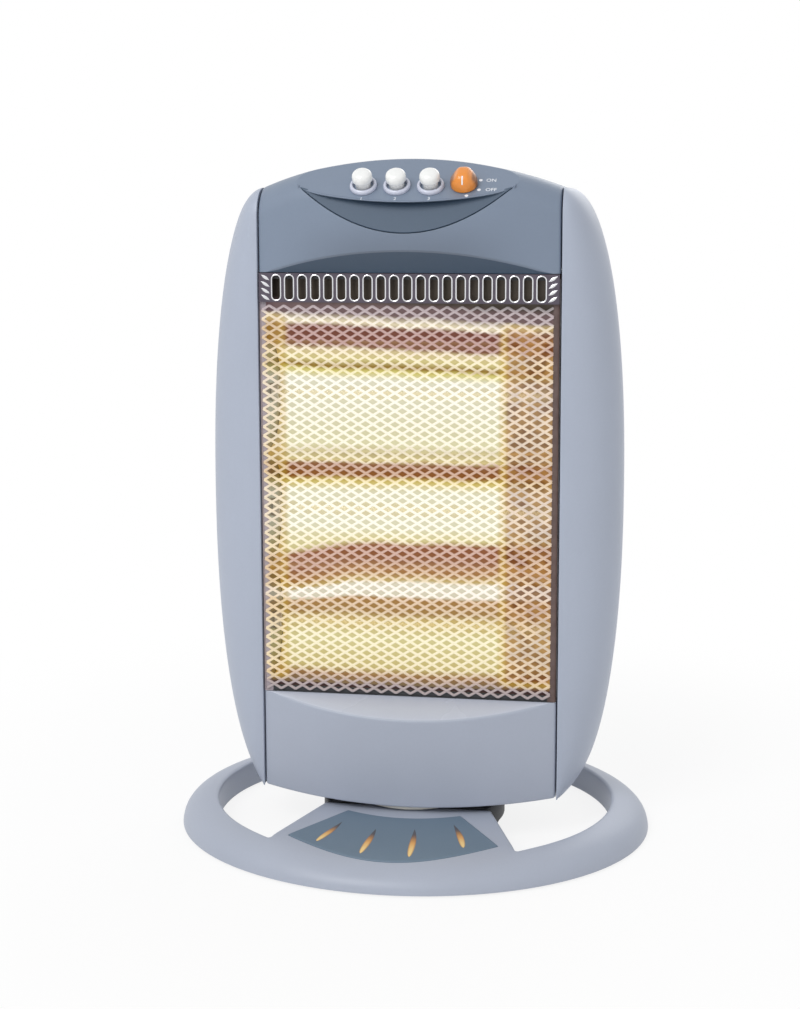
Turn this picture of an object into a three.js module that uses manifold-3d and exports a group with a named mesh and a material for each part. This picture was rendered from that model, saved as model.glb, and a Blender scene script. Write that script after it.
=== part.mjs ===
// Free-standing halogen heater: three quartz tubes in a reflector behind a mesh guard,
// in a rounded body that swings from side to side on an oval ring base.
// Millimetres. +Z is up, the front faces -Y, and the origin is on the floor under the spindle.
import * as THREE from 'three';
import { mergeVertices } from 'three/addons/utils/BufferGeometryUtils.js';
import Module from 'manifold-3d';

const wasm = await Module();
wasm.setup();

// ---------------------------------------------------------------- driving dimensions

const seamGap = 0.4; // between neighbouring covers
const seatGap = 0.3; // between a piece and what carries it
const wall = 2.6; // moulded covers
const sheet = 1.2; // pressed steel
const boreGap = 0.4; // round a turning shaft or a stem
const runGap = 1; // over and under turning pieces

// base
const baseHalfWidth = 170;
const baseHalfDepth = 144;
const baseHeight = 21;
const rimRoundShare = 0.2; // of the half width, rounded down to the floor
const frontDip = 5; // how far the front bridge slopes down at its front
const frontDipStart = -92;
const frontDipEnd = -136;
const rimLift = 1; // underside of the rim above the floor
const ringSideWidth = 27;
const ringFrontWidth = 18;
const apronFrontHalf = 92; // half width of the front bridge at the ring
const apronBackHalf = 58; // and at the hub
const apronBackY = -27;
const rearBridgeHalf = 36;
const basePlateThickness = 2.2;
const basePlateZ = 3;
const plateDrawIn = 4; // clears the cover's rounded rim inside
const footRadius = 8;
const footHeight = 2.7;
const footAngle = 41; // on the ring's middle line, from the side towards front and back
const insetOuterHalf = 72; // fan-shaped plate: half width at its outer corners
const insetOuterY = -99;
const insetFrontY = -127; // middle of its outer arc
const insetInnerHalf = 40;
const insetInnerY = -48;
const insetBackY = -58; // middle of its inner arc
const insetThickness = 1.3;
const insetProud = 0.5;

// hub, spindle and swing drive
const hubRadius = 66;
const hubTop = 22;
const hubFlatY = -46; // the hub is flat where the front bridge meets it
const hubChamfer = 1.5;
const spindleRadius = 12;
const spindleBore = 8;
const spindleFlange = 22;
const spindleFlangeThickness = 3;
const spindleStub = 2.3; // spindle above its nut, under the drive arm
const spindleNutRadius = 18;
const spindleNutHeight = 3;
const swingOffset = 14; // spindle axis to motor axis
const crankRadius = 8; // motor axis to crank pin
const crankPinRadius = 2;
const crankDiscRadius = 11;
const crankDiscHeight = 3.5;
const driveArmHeight = 3;
const driveArmRim = 3.5; // steel left beside the slot
const slotPlay = 1.8; // beside the crank pin, in the arm's slot
const motorRadius = 25;
const motorHeight = 16;
const motorShaftRadius = 3;
const bracketMargin = 8; // bracket's legs beside the motor
const bracketFoot = 10;
const bracketHalfDepth = 15;
const turnRingInner = 30;
const turnRingOuter = 44;
const tipSwitchX = -42;
const tipSwitchHalfWidth = 9;
const tipSwitchHalfDepth = 7;
const plungerRadius = 3.5;
const plungerTravel = 3.5;
const plungerTip = 0.4; // above the floor
const plungerPlay = 0.5;

// body
const seamHalf = 105; // half width of the middle panels
const seamY = -27; // front of the middle panels at their seams
const bulge = 20; // how far the middle panels bow forward
const backY = 62;
const widestHalf = 148.1;
const bodyBottom = 29;
const bodyTop = 457; // side panels
const crestRise = 19.5; // middle of the hood above the side panels
const crest = bodyTop + crestRise;
const outlinePower = 2.25; // superellipse of the side panels' outline
const sideProud = 1.2; // side panels in front of the middle panels
const sideMidY = 13; // where the side panels are widest
const sideBackFlat = 12;
const rearCornerWidth = 35;
const frontRound = 20; // hood's edge from front to top
const rearRound = 22;
const skirtBottom = 25; // middle of the lower front panel
const bottomPlateZ = 28.5;
const bottomPlateThickness = 2.5;

// window and guard
const windowBottom = 99.8;
const windowTop = crest - 77.5;
const ledgeDrop = 11.8; // lower panel's ledge, from the window to its front edge
const visorRise = 16; // hood's underside, from the window to its front edge
const windowDepthY = -29; // where the ledge and the underside start
const guardFrameFront = -29.6;
const guardFrameBorder = 3;
const guardFlangeDepth = 7;
const ventStripHeight = 24;
const ventSlotCount = 21;
const ventSlotWidth = 5.6;
const ventSlotHeight = 18;
const ventSlotPitch = 9.2;
const meshThickness = 1.2;
const meshColumns = 8;
const meshRows = 13;
const meshStrand = 2.2;

// lamps and reflector
const lampCount = 3;
const lampPitch = 84;
const lampMiddleZ = 228;
const lampY = 4;
const quartzRadius = 5;
const quartzWall = 1;
const filamentRadius = 1.5;
const lampCapRadius = 6.5;
const lampCapLength = 18;
const lampCapInner = 98; // where a ceramic cap starts, from the middle
const reflectorRidgeY = -18;
const reflectorDepth = 44;
const troughHalf = 39.5;
const endPlateInner = 103.2;
const endPlateFlange = 14;
const endPlateDrop = 4; // from the window's top
const endPlateLift = 3; // from the rear cover's lower edge

// control deck
const deckTilt = 40;
const deckDrop = 29.5; // from the crest to the middle of the deck's front edge
const deckLipZ = crest - deckDrop;
const crescentHalf = 75;
const crescentCornerZ = crest - 18;
const crescentBottomZ = crest - 50.5;
const crescentDepth = 7; // under the deck's front edge
const crescentThickness = 1.4;
const buttonPitch = 23;
const firstButtonX = -29;
const buttonUp = 16; // from the deck's front edge, along the deck
const buttonRadius = 6.8;
const buttonProud = 12;
const capRound = 1.5;
const capCrown = 0.3; // rise of the cap's face in its middle
const buttonTravel = 3.5;
const buttonPlay = 0.4;
const collarRadius = 9.4;
const collarHeight = 3;
const stemRadius = 2.4;
const stemLength = 11;
const switchSize = 16;
const switchDepth = 14;
const knobX = 39.5;
const knobUp = 18;
const knobRadius = 9.3;
const knobHeight = 7;
const knobGripWidth = 4;
const knobGripHeight = 3;
const knobDraft = 0.6;
const knobRound = 1;
const knobShaftRadius = 3;
const knobShaftLength = 10; // in the switch
const rotarySwitchRadius = 7.5;
const rotarySwitchDepth = 16;

// rear cover
const rearCoverBottom = 33;
const louvreColumns = 2;
const louvreRows = 14;
const louvreWidth = 78;
const louvreHeight = 5;
const louvrePitch = 21;
const louvreFirstZ = 82;
const louvreX = 47;
const screwHeadRadius = 3.6;
const screwHeadHeight = 1.8;
const screwShankRadius = 1.8;
const screwLength = 8;
const screwX = 97;
const screwZs = [48, 386];
const glandX = -60;
const glandZ = 52;
const glandRadius = 7;
const glandBore = 3.6;
const glandProud = 7;
const glandFlangeRadius = 10;
const terminalX = -68;
const terminalY = 32;
const terminalLength = 36;
const terminalDepth = 16;
const terminalHeight = 14;
const cutoutRadius = 8;
const cutoutLength = 7;
const cutoutX = 30;

// worked out from the sizes above
const radians = Math.PI / 180;
const bulgeRadius = (seamHalf ** 2 + bulge ** 2) / (2 * bulge);
const crestRadius = (seamHalf ** 2 + crestRise ** 2) / (2 * crestRise);
const panelHalf = seamHalf - seamGap; // the middle panels' own half width
const sideStart = seamHalf + seamGap;
const frontY = (x) => seamY - bulge + bulgeRadius - Math.sqrt(bulgeRadius ** 2 - x ** 2);
const topZ = (x) => crest - crestRadius + Math.sqrt(crestRadius ** 2 - x ** 2);
const bodyMiddleZ = (bodyTop + bodyBottom) / 2;
const bodyHalfHeight = (bodyTop - bodyBottom) / 2;

// ---------------------------------------------------------------- helpers

const colours = {
  shell: [0xadb4c2, 0.45, 0],
  hood: [0x7c8b9d, 0.42, 0],
  dark: [0x4f6172, 0.5, 0],
  steel: [0xc9ccd0, 0.3, 0.9],
  mirror: [0xe8dcc0, 0.15, 1],
  glow: [0xfdf3c0, 0.3, 0],
  filament: [0xffc060, 0.5, 0],
  ceramic: [0xe9e6dd, 0.7, 0],
  cap: [0xf7f7f5, 0.35, 0],
  orange: [0xf09030, 0.4, 0],
  black: [0x2a2c30, 0.6, 0],
  collar: [0xcfd3e2, 0.4, 0],
  rubber: [0x1d1e20, 0.9, 0],
  nylon: [0xe4e2da, 0.6, 0],
};

const materials = Object.fromEntries(
  Object.entries(colours).map(([name, [color, roughness, metalness]]) => [
    name,
    new THREE.MeshStandardMaterial({ color, roughness, metalness }),
  ]),
);

const heater = new THREE.Group();

function addPiece(name, geometry, material, parent = heater) {
  const mesh = new THREE.Mesh(geometry, materials[material]);
  mesh.name = name;
  parent.add(mesh);
  return mesh;
}

function toSolid(geometry) {
  const bare = geometry.clone();
  bare.deleteAttribute('normal');
  bare.deleteAttribute('uv');
  const merged = mergeVertices(bare, 1e-4);
  return new wasm.Manifold(
    new wasm.Mesh({
      numProp: 3,
      vertProperties: new Float32Array(merged.attributes.position.array),
      triVerts: new Uint32Array(merged.index.array),
    }),
  );
}

function toGeometry(solid) {
  const mesh = solid.getMesh();
  const geometry = new THREE.BufferGeometry();
  geometry.setAttribute('position', new THREE.BufferAttribute(mesh.vertProperties, 3));
  geometry.setIndex(new THREE.BufferAttribute(mesh.triVerts, 1));
  geometry.computeVertexNormals();
  return geometry;
}

const union = (first, ...rest) => rest.reduce((sum, next) => sum.add(next), first);
const cut = (first, ...rest) => rest.reduce((left, next) => left.subtract(next), first);

function outline(points) {
  return new THREE.Shape(points.map(([u, v]) => new THREE.Vector2(u, v)));
}

function extrude(shape, depth, curveSegments = 24) {
  return new THREE.ExtrudeGeometry(shape, { depth, bevelEnabled: false, curveSegments });
}

// a plan outline (x, y) raised from one height to another
function prismZ(shape, low, high, curveSegments) {
  return toSolid(extrude(shape, high - low, curveSegments).translate(0, 0, low));
}

// a side outline (y, z) run from one x to another
function prismX(shape, low, high, curveSegments) {
  const geometry = extrude(shape, high - low, curveSegments);
  const axes = new THREE.Matrix4().makeBasis(
    new THREE.Vector3(0, 1, 0),
    new THREE.Vector3(0, 0, 1),
    new THREE.Vector3(1, 0, 0),
  );
  return toSolid(geometry.applyMatrix4(axes).translate(low, 0, 0));
}

// a front outline (x, z) run from one y to another
function prismY(shape, low, high, curveSegments) {
  const geometry = extrude(shape, high - low, curveSegments);
  const axes = new THREE.Matrix4().makeBasis(
    new THREE.Vector3(1, 0, 0),
    new THREE.Vector3(0, 0, 1),
    new THREE.Vector3(0, -1, 0),
  );
  return toSolid(geometry.applyMatrix4(axes).translate(0, high, 0));
}

function block(x0, x1, y0, y1, z0, z1) {
  const geometry = new THREE.BoxGeometry(x1 - x0, y1 - y0, z1 - z0);
  return toSolid(geometry.translate((x0 + x1) / 2, (y0 + y1) / 2, (z0 + z1) / 2));
}

function cylinderZ(radius, low, high, x = 0, y = 0, sides = 20) {
  const geometry = new THREE.CylinderGeometry(radius, radius, high - low, sides);
  return toSolid(geometry.rotateX(Math.PI / 2).translate(x, y, (low + high) / 2));
}

function cylinderX(radius, low, high, y, z, sides = 12) {
  const geometry = new THREE.CylinderGeometry(radius, radius, high - low, sides);
  return toSolid(geometry.rotateZ(Math.PI / 2).translate((low + high) / 2, y, z));
}

function cylinderY(radius, low, high, x, z, sides = 16) {
  const geometry = new THREE.CylinderGeometry(radius, radius, high - low, sides);
  return toSolid(geometry.translate(x, (low + high) / 2, z));
}

// a profile of [radius, height] turned about the z axis
function turned(profile, segments = 24) {
  const points = profile.map(([r, z]) => new THREE.Vector2(r, z));
  return new THREE.LatheGeometry(points, segments).rotateX(Math.PI / 2);
}

// rings of points, one after another, joined into one closed skin with flat ends
function loft(rings) {
  const count = rings[0].length;
  const positions = rings.flat(2);
  const index = [];
  for (let i = 0; i + 1 < rings.length; i += 1) {
    for (let j = 0; j < count; j += 1) {
      const a = i * count + j;
      const b = i * count + ((j + 1) % count);
      index.push(a, b, b + count, a, b + count, a + count);
    }
  }
  const last = (rings.length - 1) * count;
  for (let j = 1; j + 1 < count; j += 1) {
    index.push(0, j + 1, j);
    index.push(last, last + j, last + j + 1);
  }
  const geometry = new THREE.BufferGeometry();
  geometry.setAttribute('position', new THREE.Float32BufferAttribute(positions, 3));
  geometry.setIndex(index);
  return facingOut(geometry);
}

function facingOut(geometry) {
  const p = geometry.attributes.position;
  const corner = (i) => new THREE.Vector3().fromBufferAttribute(p, geometry.index.getX(i));
  let volume = 0;
  for (let i = 0; i < geometry.index.count; i += 3) {
    volume += corner(i).dot(corner(i + 1).cross(corner(i + 2)));
  }
  if (volume < 0) {
    const turnedRound = Array.from(geometry.index.array).reverse();
    geometry.setIndex(turnedRound);
  }
  return geometry;
}

const steps = (count, from, to) =>
  Array.from({ length: count + 1 }, (_, i) => from + ((to - from) * i) / count);

function ellipse(halfX, halfY) {
  const shape = new THREE.Shape();
  shape.absellipse(0, 0, halfX, halfY, 0, 2 * Math.PI, false);
  return shape;
}

// ---------------------------------------------------------------- base

const hubSides = 36;

// height of the base's top: level inside, rounded to the floor at the rim
function baseTop(x, y) {
  const share = Math.hypot(x / baseHalfWidth, y / baseHalfDepth);
  const out = Math.min(1, Math.max(0, (share - 1 + rimRoundShare) / rimRoundShare));
  const dip = Math.min(1, Math.max(0, (frontDipStart - y) / (frontDipStart - frontDipEnd)));
  const level = baseHeight - frontDip * dip ** 2;
  return level * (1 - out ** 2.4) ** (1 / 2.4);
}

const rimShares = [0.999, 0.985, 0.955, 0.91, 0.86, 0.8, 0.6, 0.2];
const rimSides = 52;

// the crowned oval, drawn in by an inset and lowered by a drop
function crownSolid(inset, drop, floor) {
  const ring = (share, height) =>
    steps(rimSides - 1, 0, 2 * Math.PI * (1 - 1 / rimSides)).map((angle) => {
      const x = baseHalfWidth * share * Math.cos(angle);
      const y = baseHalfDepth * share * Math.sin(angle);
      const scale = 1 - inset / baseHalfWidth;
      return [x * scale, y * scale, height ?? Math.max(floor + 0.5, baseTop(x, y) - drop)];
    });
  return toSolid(loft([ring(0.99, floor), ...rimShares.map((share) => ring(share))]));
}

// what the ring and its two bridges leave open in plan, grown by a margin all round
function ringOpenings(margin, low, high) {
  const innerX = baseHalfWidth - ringSideWidth + margin;
  const innerY = baseHalfDepth - ringFrontWidth + margin;
  const ringFrontY = ringFrontWidth - baseHalfDepth;
  const spread = (apronFrontHalf - apronBackHalf) / (apronBackY - ringFrontY);
  const apronHalf = (y) => apronBackHalf + spread * (apronBackY - y) - margin;
  const apron = outline([
    [-apronHalf(-baseHalfDepth), -baseHalfDepth],
    [apronHalf(-baseHalfDepth), -baseHalfDepth],
    [apronHalf(0), 0],
    [-apronHalf(0), 0],
  ]);
  const bridgeHalf = rearBridgeHalf - margin;
  return cut(
    prismZ(ellipse(innerX, innerY), low, high, 24),
    prismZ(apron, low - 1, high + 1),
    block(-bridgeHalf, bridgeHalf, 0, baseHalfDepth, low - 1, high + 1),
  );
}

// an arc through two corners at (+-half, cornerY) and the middle point (0, middleY)
function arcThrough(half, cornerY, middleY, count) {
  const sag = cornerY - middleY;
  const radius = (half ** 2 + sag ** 2) / (2 * sag);
  const reach = Math.asin(half / radius);
  return steps(count, -reach, reach).map((t) => [
    radius * Math.sin(t),
    middleY + radius - radius * Math.cos(t),
  ]);
}

// the fan-shaped plate in plan, grown by a margin all round
function insetFan(margin, low, high) {
  const side = margin * 1.6; // at the pointed corners
  const front = arcThrough(insetOuterHalf + side, insetOuterY + side / 4, insetFrontY - margin, 14);
  const back = arcThrough(insetInnerHalf + side / 2, insetInnerY + side, insetBackY + margin, 8);
  return prismZ(outline([...front, ...back.reverse()]), low, high);
}

const basePlateTop = basePlateZ + basePlateThickness;
const highCut = hubTop + 20;

function makeBaseCover() {
  const hubHole = cut(
    cylinderZ(hubRadius + seamGap, -6, highCut, 0, 0, hubSides),
    block(-hubRadius, hubRadius, -hubRadius - 10, hubFlatY - seamGap, -7, highCut + 1),
  );
  const outer = cut(crownSolid(0, 0, rimLift), ringOpenings(0, -5, highCut), hubHole);
  const inner = cut(crownSolid(wall, wall, -1), ringOpenings(wall, -5, highCut));
  const pocket = cut(
    insetFan(seatGap, 0, highCut),
    crownSolid(0, insetThickness - insetProud + seatGap, -2),
  );
  return cut(outer, inner, pocket);
}

function makeBasePlate() {
  const edge = wall + seatGap;
  const low = basePlateZ - 1;
  const high = basePlateTop + 1;
  const plate = prismZ(
    ellipse(baseHalfWidth - edge - plateDrawIn, baseHalfDepth - edge - plateDrawIn),
    basePlateZ,
    basePlateTop,
    22,
  );
  const openSides = cut(
    ringOpenings(edge, low, high),
    cylinderZ(hubRadius - edge, low - 1, high + 1, 0, 0, hubSides),
  );
  const plungerHole = cylinderZ(plungerRadius + plungerPlay, low, high, tipSwitchX, 0);
  return cut(plate, openSides, plungerHole);
}

function makeInset() {
  const slab = cut(crownSolid(0, -insetProud, -1), crownSolid(0, insetThickness - insetProud, -3));
  return insetFan(0, 0, highCut).intersect(slab);
}

addPiece('base_cover', toGeometry(makeBaseCover()), 'shell');
addPiece('base_bottom_plate', toGeometry(makeBasePlate()), 'black');
addPiece('base_inset', toGeometry(makeInset()), 'dark');

const footX = (baseHalfWidth - ringSideWidth / 2) * Math.cos(footAngle * radians);
const footY = (baseHalfDepth - ringFrontWidth / 2) * Math.sin(footAngle * radians);
for (const [side, sx] of [['left', -1], ['right', 1]]) {
  for (const [end, sy] of [['front', -1], ['rear', 1]]) {
    const foot = turned([[0, 0], [footRadius - 1, 0], [footRadius, footHeight], [0, footHeight]], 16);
    const piece = addPiece(`foot_${end}_${side}`, foot, 'rubber');
    piece.position.set(sx * footX, sy * footY, 0);
  }
}

// ---------------------------------------------------------------- hub and swing drive

const bottomPlateTop = bottomPlateZ + bottomPlateThickness;
const hubBottom = basePlateTop + seatGap;
const nutBottom = bottomPlateTop + seatGap;
const armBottom = nutBottom + spindleNutHeight + spindleStub;
const spindleTop = armBottom - seatGap;
const armTop = armBottom + driveArmHeight;
const crankBottom = armTop + runGap;
const crankTop = crankBottom + crankDiscHeight;
const bracketPlateZ = crankTop + runGap;
const motorBottom = bracketPlateZ + sheet + seatGap;
const hubShell = toSolid(
  turned([
    [hubRadius, hubBottom],
    [hubRadius, hubTop - hubChamfer],
    [hubRadius - hubChamfer, hubTop],
    [spindleRadius + boreGap, hubTop],
    [spindleRadius + boreGap, hubTop - wall],
    [hubRadius - wall, hubTop - wall],
    [hubRadius - wall, hubBottom],
    [hubRadius, hubBottom],
  ], hubSides),
);
const hubFront = block(-hubRadius - 5, hubRadius + 5, -hubRadius - 5, hubFlatY, 0, hubTop + 5);
addPiece('hub_housing', toGeometry(hubShell.subtract(hubFront)), 'dark');

addPiece(
  'spindle',
  turned([
    [spindleBore, hubBottom],
    [spindleFlange, hubBottom],
    [spindleFlange, hubBottom + spindleFlangeThickness],
    [spindleRadius, hubBottom + spindleFlangeThickness],
    [spindleRadius, spindleTop],
    [spindleBore, spindleTop],
    [spindleBore, hubBottom],
  ]),
  'steel',
);

addPiece(
  'turntable_ring',
  turned([
    [turnRingInner, hubTop + seatGap],
    [turnRingOuter, hubTop + seatGap],
    [turnRingOuter, bottomPlateZ - seatGap],
    [turnRingInner, bottomPlateZ - seatGap],
    [turnRingInner, hubTop + seatGap],
  ]),
  'nylon',
);

const nutTop = nutBottom + spindleNutHeight;
const spindleNut = cut(
  cylinderZ(spindleNutRadius, nutBottom, nutTop, 0, 0, 6),
  cylinderZ(spindleRadius + boreGap, nutBottom - 1, nutTop + 1),
);
addPiece('spindle_nut', toGeometry(spindleNut), 'steel');

function roundSlot(x, y0, y1, radius, low, high) {
  const shape = new THREE.Shape();
  shape.absarc(x, y1, radius, 0, Math.PI, false);
  shape.absarc(x, y0, radius, Math.PI, 2 * Math.PI, false);
  return prismZ(shape, low, high, 6);
}

const pinReach = swingOffset + crankRadius;
const slotHalf = crankPinRadius + slotPlay;
const driveArm = cut(
  union(
    cylinderZ(spindleRadius + driveArmRim, armBottom, armTop),
    roundSlot(0, 0, pinReach, slotHalf + driveArmRim, armBottom, armTop),
  ),
  roundSlot(0, swingOffset - crankRadius, pinReach, slotHalf, armBottom - 1, armTop + 1),
);
addPiece('drive_arm', toGeometry(driveArm), 'steel');

const crank = union(
  cylinderZ(crankDiscRadius, crankBottom, crankTop, 0, swingOffset),
  cylinderZ(crankPinRadius, armBottom, crankBottom + 1, 0, pinReach, 12),
  cylinderZ(motorShaftRadius, crankTop - 1, motorBottom - seatGap, 0, swingOffset, 12),
);
addPiece('crank', toGeometry(crank), 'nylon');

const bracketHalf = motorRadius + bracketMargin;
const bracketFeet = bracketHalf + bracketFoot;
const bracketOutline = outline([
  [-bracketFeet, nutBottom],
  [-bracketHalf + sheet, nutBottom],
  [-bracketHalf + sheet, bracketPlateZ],
  [bracketHalf - sheet, bracketPlateZ],
  [bracketHalf - sheet, nutBottom],
  [bracketFeet, nutBottom],
  [bracketFeet, nutBottom + sheet],
  [bracketHalf, nutBottom + sheet],
  [bracketHalf, bracketPlateZ + sheet],
  [-bracketHalf, bracketPlateZ + sheet],
  [-bracketHalf, nutBottom + sheet],
  [-bracketFeet, nutBottom + sheet],
]);
const motorBracket = cut(
  prismY(bracketOutline, swingOffset - bracketHalfDepth, swingOffset + bracketHalfDepth),
  cylinderZ(motorShaftRadius + runGap, bracketPlateZ - 1, bracketPlateZ + sheet + 1, 0, swingOffset),
);
addPiece('motor_bracket', toGeometry(motorBracket), 'steel');

const motorProfile = [
  [0, motorBottom],
  [motorRadius, motorBottom],
  [motorRadius, motorBottom + motorHeight - 1],
  [motorRadius - 1, motorBottom + motorHeight],
  [0, motorBottom + motorHeight],
];
addPiece('oscillation_motor', turned(motorProfile), 'steel').position.y = swingOffset;

// tip-over switch: its plunger feels the floor through the base plate
const tipHousingTop = hubTop - wall - 1;
const plungerTop = hubBottom + plungerTravel + 1;
const tipHousing = cut(
  block(
    tipSwitchX - tipSwitchHalfWidth,
    tipSwitchX + tipSwitchHalfWidth,
    -tipSwitchHalfDepth,
    tipSwitchHalfDepth,
    hubBottom,
    tipHousingTop,
  ),
  cylinderZ(plungerRadius + plungerPlay, hubBottom - 1, plungerTop + plungerTravel, tipSwitchX, 0, 16),
);
addPiece('tip_switch_housing', toGeometry(tipHousing), 'black');

const plungerProfile = [
  [0, plungerTip],
  [plungerRadius - 1, plungerTip],
  [plungerRadius, plungerTip + 1],
  [plungerRadius, plungerTop],
  [0, plungerTop],
];
addPiece('tip_plunger', turned(plungerProfile, 16), 'orange').position.x = tipSwitchX;

// ---------------------------------------------------------------- body shells

function outlineHalf(z) {
  const share = Math.min(1, Math.abs(z - bodyMiddleZ) / bodyHalfHeight);
  const swell = (1 - share ** outlinePower) ** (1 / outlinePower);
  return seamHalf + (widestHalf - seamHalf) * swell;
}

// how far an edge of a radius has drawn in at a height under its top
function roundInset(z, top, radius) {
  const rise = Math.max(0, z - (top - radius));
  return radius - Math.sqrt(Math.max(0, radius ** 2 - rise ** 2));
}

// closed section of a side panel at a height, drawn in by an inset
function sideSection(z, inset, start) {
  const half = outlineHalf(z) - inset;
  const top = bodyTop - inset;
  const front = seamY - sideProud + inset + roundInset(z, top, frontRound);
  const back = backY - inset - roundInset(z, top, rearRound);
  const ring = [];
  for (const t of steps(7, 0, Math.PI / 2)) {
    const y = sideMidY - (sideMidY - front) * Math.cos(t);
    ring.push([start + (half - start) * Math.sin(t), y, z]);
  }
  const corner = Math.min(rearCornerWidth, half - start - 1);
  const backStart = Math.min(sideMidY + sideBackFlat, back - 4);
  for (const t of steps(5, 0, Math.PI / 2)) {
    const x = half - corner + corner * Math.cos(t);
    ring.push([x, backStart + (back - backStart) * Math.sin(t), z]);
  }
  ring.push([start, back, z]);
  return ring;
}

function sideLevels(low, high) {
  return steps(17, 0, Math.PI).map((t) => (low + high) / 2 - ((high - low) / 2) * Math.cos(t));
}

function makeSidePanel() {
  const outer = toSolid(
    loft(sideLevels(bodyBottom, bodyTop - 1).map((z) => sideSection(z, 0, sideStart))),
  );
  const innerLevels = sideLevels(bodyBottom + wall, bodyTop - 2 * wall);
  const inner = toSolid(loft(innerLevels.map((z) => sideSection(z, wall, sideStart - 6))));
  return outer.subtract(inner);
}

function mirrored(geometry) {
  const copy = geometry.clone().scale(-1, 1, 1);
  copy.setIndex(Array.from(copy.index.array).reverse());
  copy.computeVertexNormals();
  return copy;
}

const rightPanel = toGeometry(makeSidePanel());
addPiece('right_side_panel', rightPanel, 'shell');
addPiece('left_side_panel', mirrored(rightPanel), 'shell');

// hood: side-on sections run across the body
function hoodSection(x, inset, low) {
  const front = frontY(x) + inset;
  const top = topZ(x) - inset;
  const back = backY - inset;
  const frontRadius = frontRound - inset;
  const rearRadius = rearRound - inset;
  const ring = [[x, front, low]];
  for (const t of steps(5, 0, Math.PI / 2)) {
    const y = front + frontRadius - frontRadius * Math.cos(t);
    ring.push([x, y, top - frontRadius + frontRadius * Math.sin(t)]);
  }
  for (const t of steps(5, Math.PI / 2, 0)) {
    const y = back - rearRadius + rearRadius * Math.cos(t);
    ring.push([x, y, top - rearRadius + rearRadius * Math.sin(t)]);
  }
  ring.push([x, back, low]);
  return ring;
}

function hoodLoft(inset, half, low) {
  return toSolid(loft(steps(14, -half, half).map((x) => hoodSection(x, inset, low))));
}

const deckSlope = Math.tan(deckTilt * radians);
const lipY = frontY(0);
const farOut = 260; // past every side
const past = 60; // past the hood's front and back

// everything above the deck's plane, sunk by a depth square to the deck
function aboveDeck(depth) {
  const drop = depth / Math.cos(deckTilt * radians);
  const height = (y) => deckLipZ - drop + deckSlope * (y - lipY);
  const side = outline([
    [lipY - past, height(lipY - past)],
    [backY + past, height(backY + past)],
    [backY + past, height(backY + past) + farOut],
    [lipY - past, height(lipY - past) + farOut],
  ]);
  return prismX(side, -farOut, farOut);
}

// the hood's underside slopes up from the window to its front edge
function underVisor(raise) {
  const slope = visorRise / (windowDepthY - lipY);
  const height = (y) => windowTop + raise + slope * (windowDepthY - y);
  const side = outline([
    [lipY - past, bodyBottom],
    [windowDepthY, bodyBottom],
    [windowDepthY, windowTop + raise],
    [lipY - past, height(lipY - past)],
  ]);
  return prismX(side, -farOut, farOut);
}

// crescent under the deck's front edge, seen from the front
function crescentOutline(margin) {
  const half = crescentHalf - Math.max(margin * 10, margin * 2); // thin tips draw in further
  const shape = new THREE.Shape();
  const corner = crescentCornerZ - Math.max(margin * 5, 0);
  const lipDip = 2 * (deckLipZ - margin) - corner;
  const bottomDip = 2 * (crescentBottomZ + margin) - corner;
  shape.moveTo(-half, corner);
  shape.quadraticCurveTo(0, bottomDip, half, corner);
  shape.quadraticCurveTo(0, lipDip, -half, corner);
  return shape;
}

// the crescent's leaning face: y at a height
const crescentLean = crescentDepth / (deckLipZ - crescentBottomZ);
const crescentY = (z) => lipY + (z - crescentBottomZ) * crescentLean;

function crescentRecess(margin, back) {
  const low = crescentBottomZ - 20;
  const high = crescentCornerZ + 5;
  const side = outline([
    [lipY - past, low],
    [crescentY(low) + back, low],
    [crescentY(high) + back, high],
    [lipY - past, high],
  ]);
  return prismY(crescentOutline(margin), lipY - 20, 0, 16).intersect(prismX(side, -farOut, farOut));
}

// the deck's own frame: x across, y up the slope, z out of the deck
const deck = new THREE.Group();
deck.position.set(0, lipY, deckLipZ);
deck.rotation.x = deckTilt * radians;
heater.add(deck);
deck.updateMatrixWorld(true);

function onDeck(geometry) {
  return toSolid(geometry.applyMatrix4(deck.matrixWorld));
}

function deckCylinder(radius, low, high, x, up, sides = 16) {
  const geometry = new THREE.CylinderGeometry(radius, radius, high - low, sides);
  return onDeck(geometry.rotateX(Math.PI / 2).translate(x, up, (low + high) / 2));
}

const buttonXs = [0, 1, 2].map((i) => firstButtonX + i * buttonPitch);

function makeHood() {
  const recessBack = crescentThickness + seatGap;
  const outer = cut(
    hoodLoft(0, panelHalf, windowTop),
    aboveDeck(0),
    underVisor(0),
    crescentRecess(0, recessBack),
  );
  const inner = cut(
    hoodLoft(wall, panelHalf - wall, windowTop - 10),
    aboveDeck(wall),
    underVisor(wall),
    crescentRecess(-wall, recessBack + wall),
  );
  const frontFloor = block(-farOut, farOut, lipY - 20, windowDepthY + wall, bodyBottom, windowTop + wall);
  const deep = -2 * switchDepth;
  const holes = buttonXs.map((x) => deckCylinder(buttonRadius + buttonPlay, deep, wall, x, buttonUp));
  const pockets = buttonXs.map((x) => deckCylinder(switchSize / 2 + seatGap, deep, -wall, x, buttonUp));
  const knobHole = deckCylinder(knobShaftRadius + boreGap, deep, wall, knobX, knobUp);
  const knobPocket = deckCylinder(rotarySwitchRadius + seatGap, deep, -wall, knobX, knobUp, 20);
  return cut(outer, inner.subtract(frontFloor), ...holes, ...pockets, knobHole, knobPocket);
}

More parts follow.
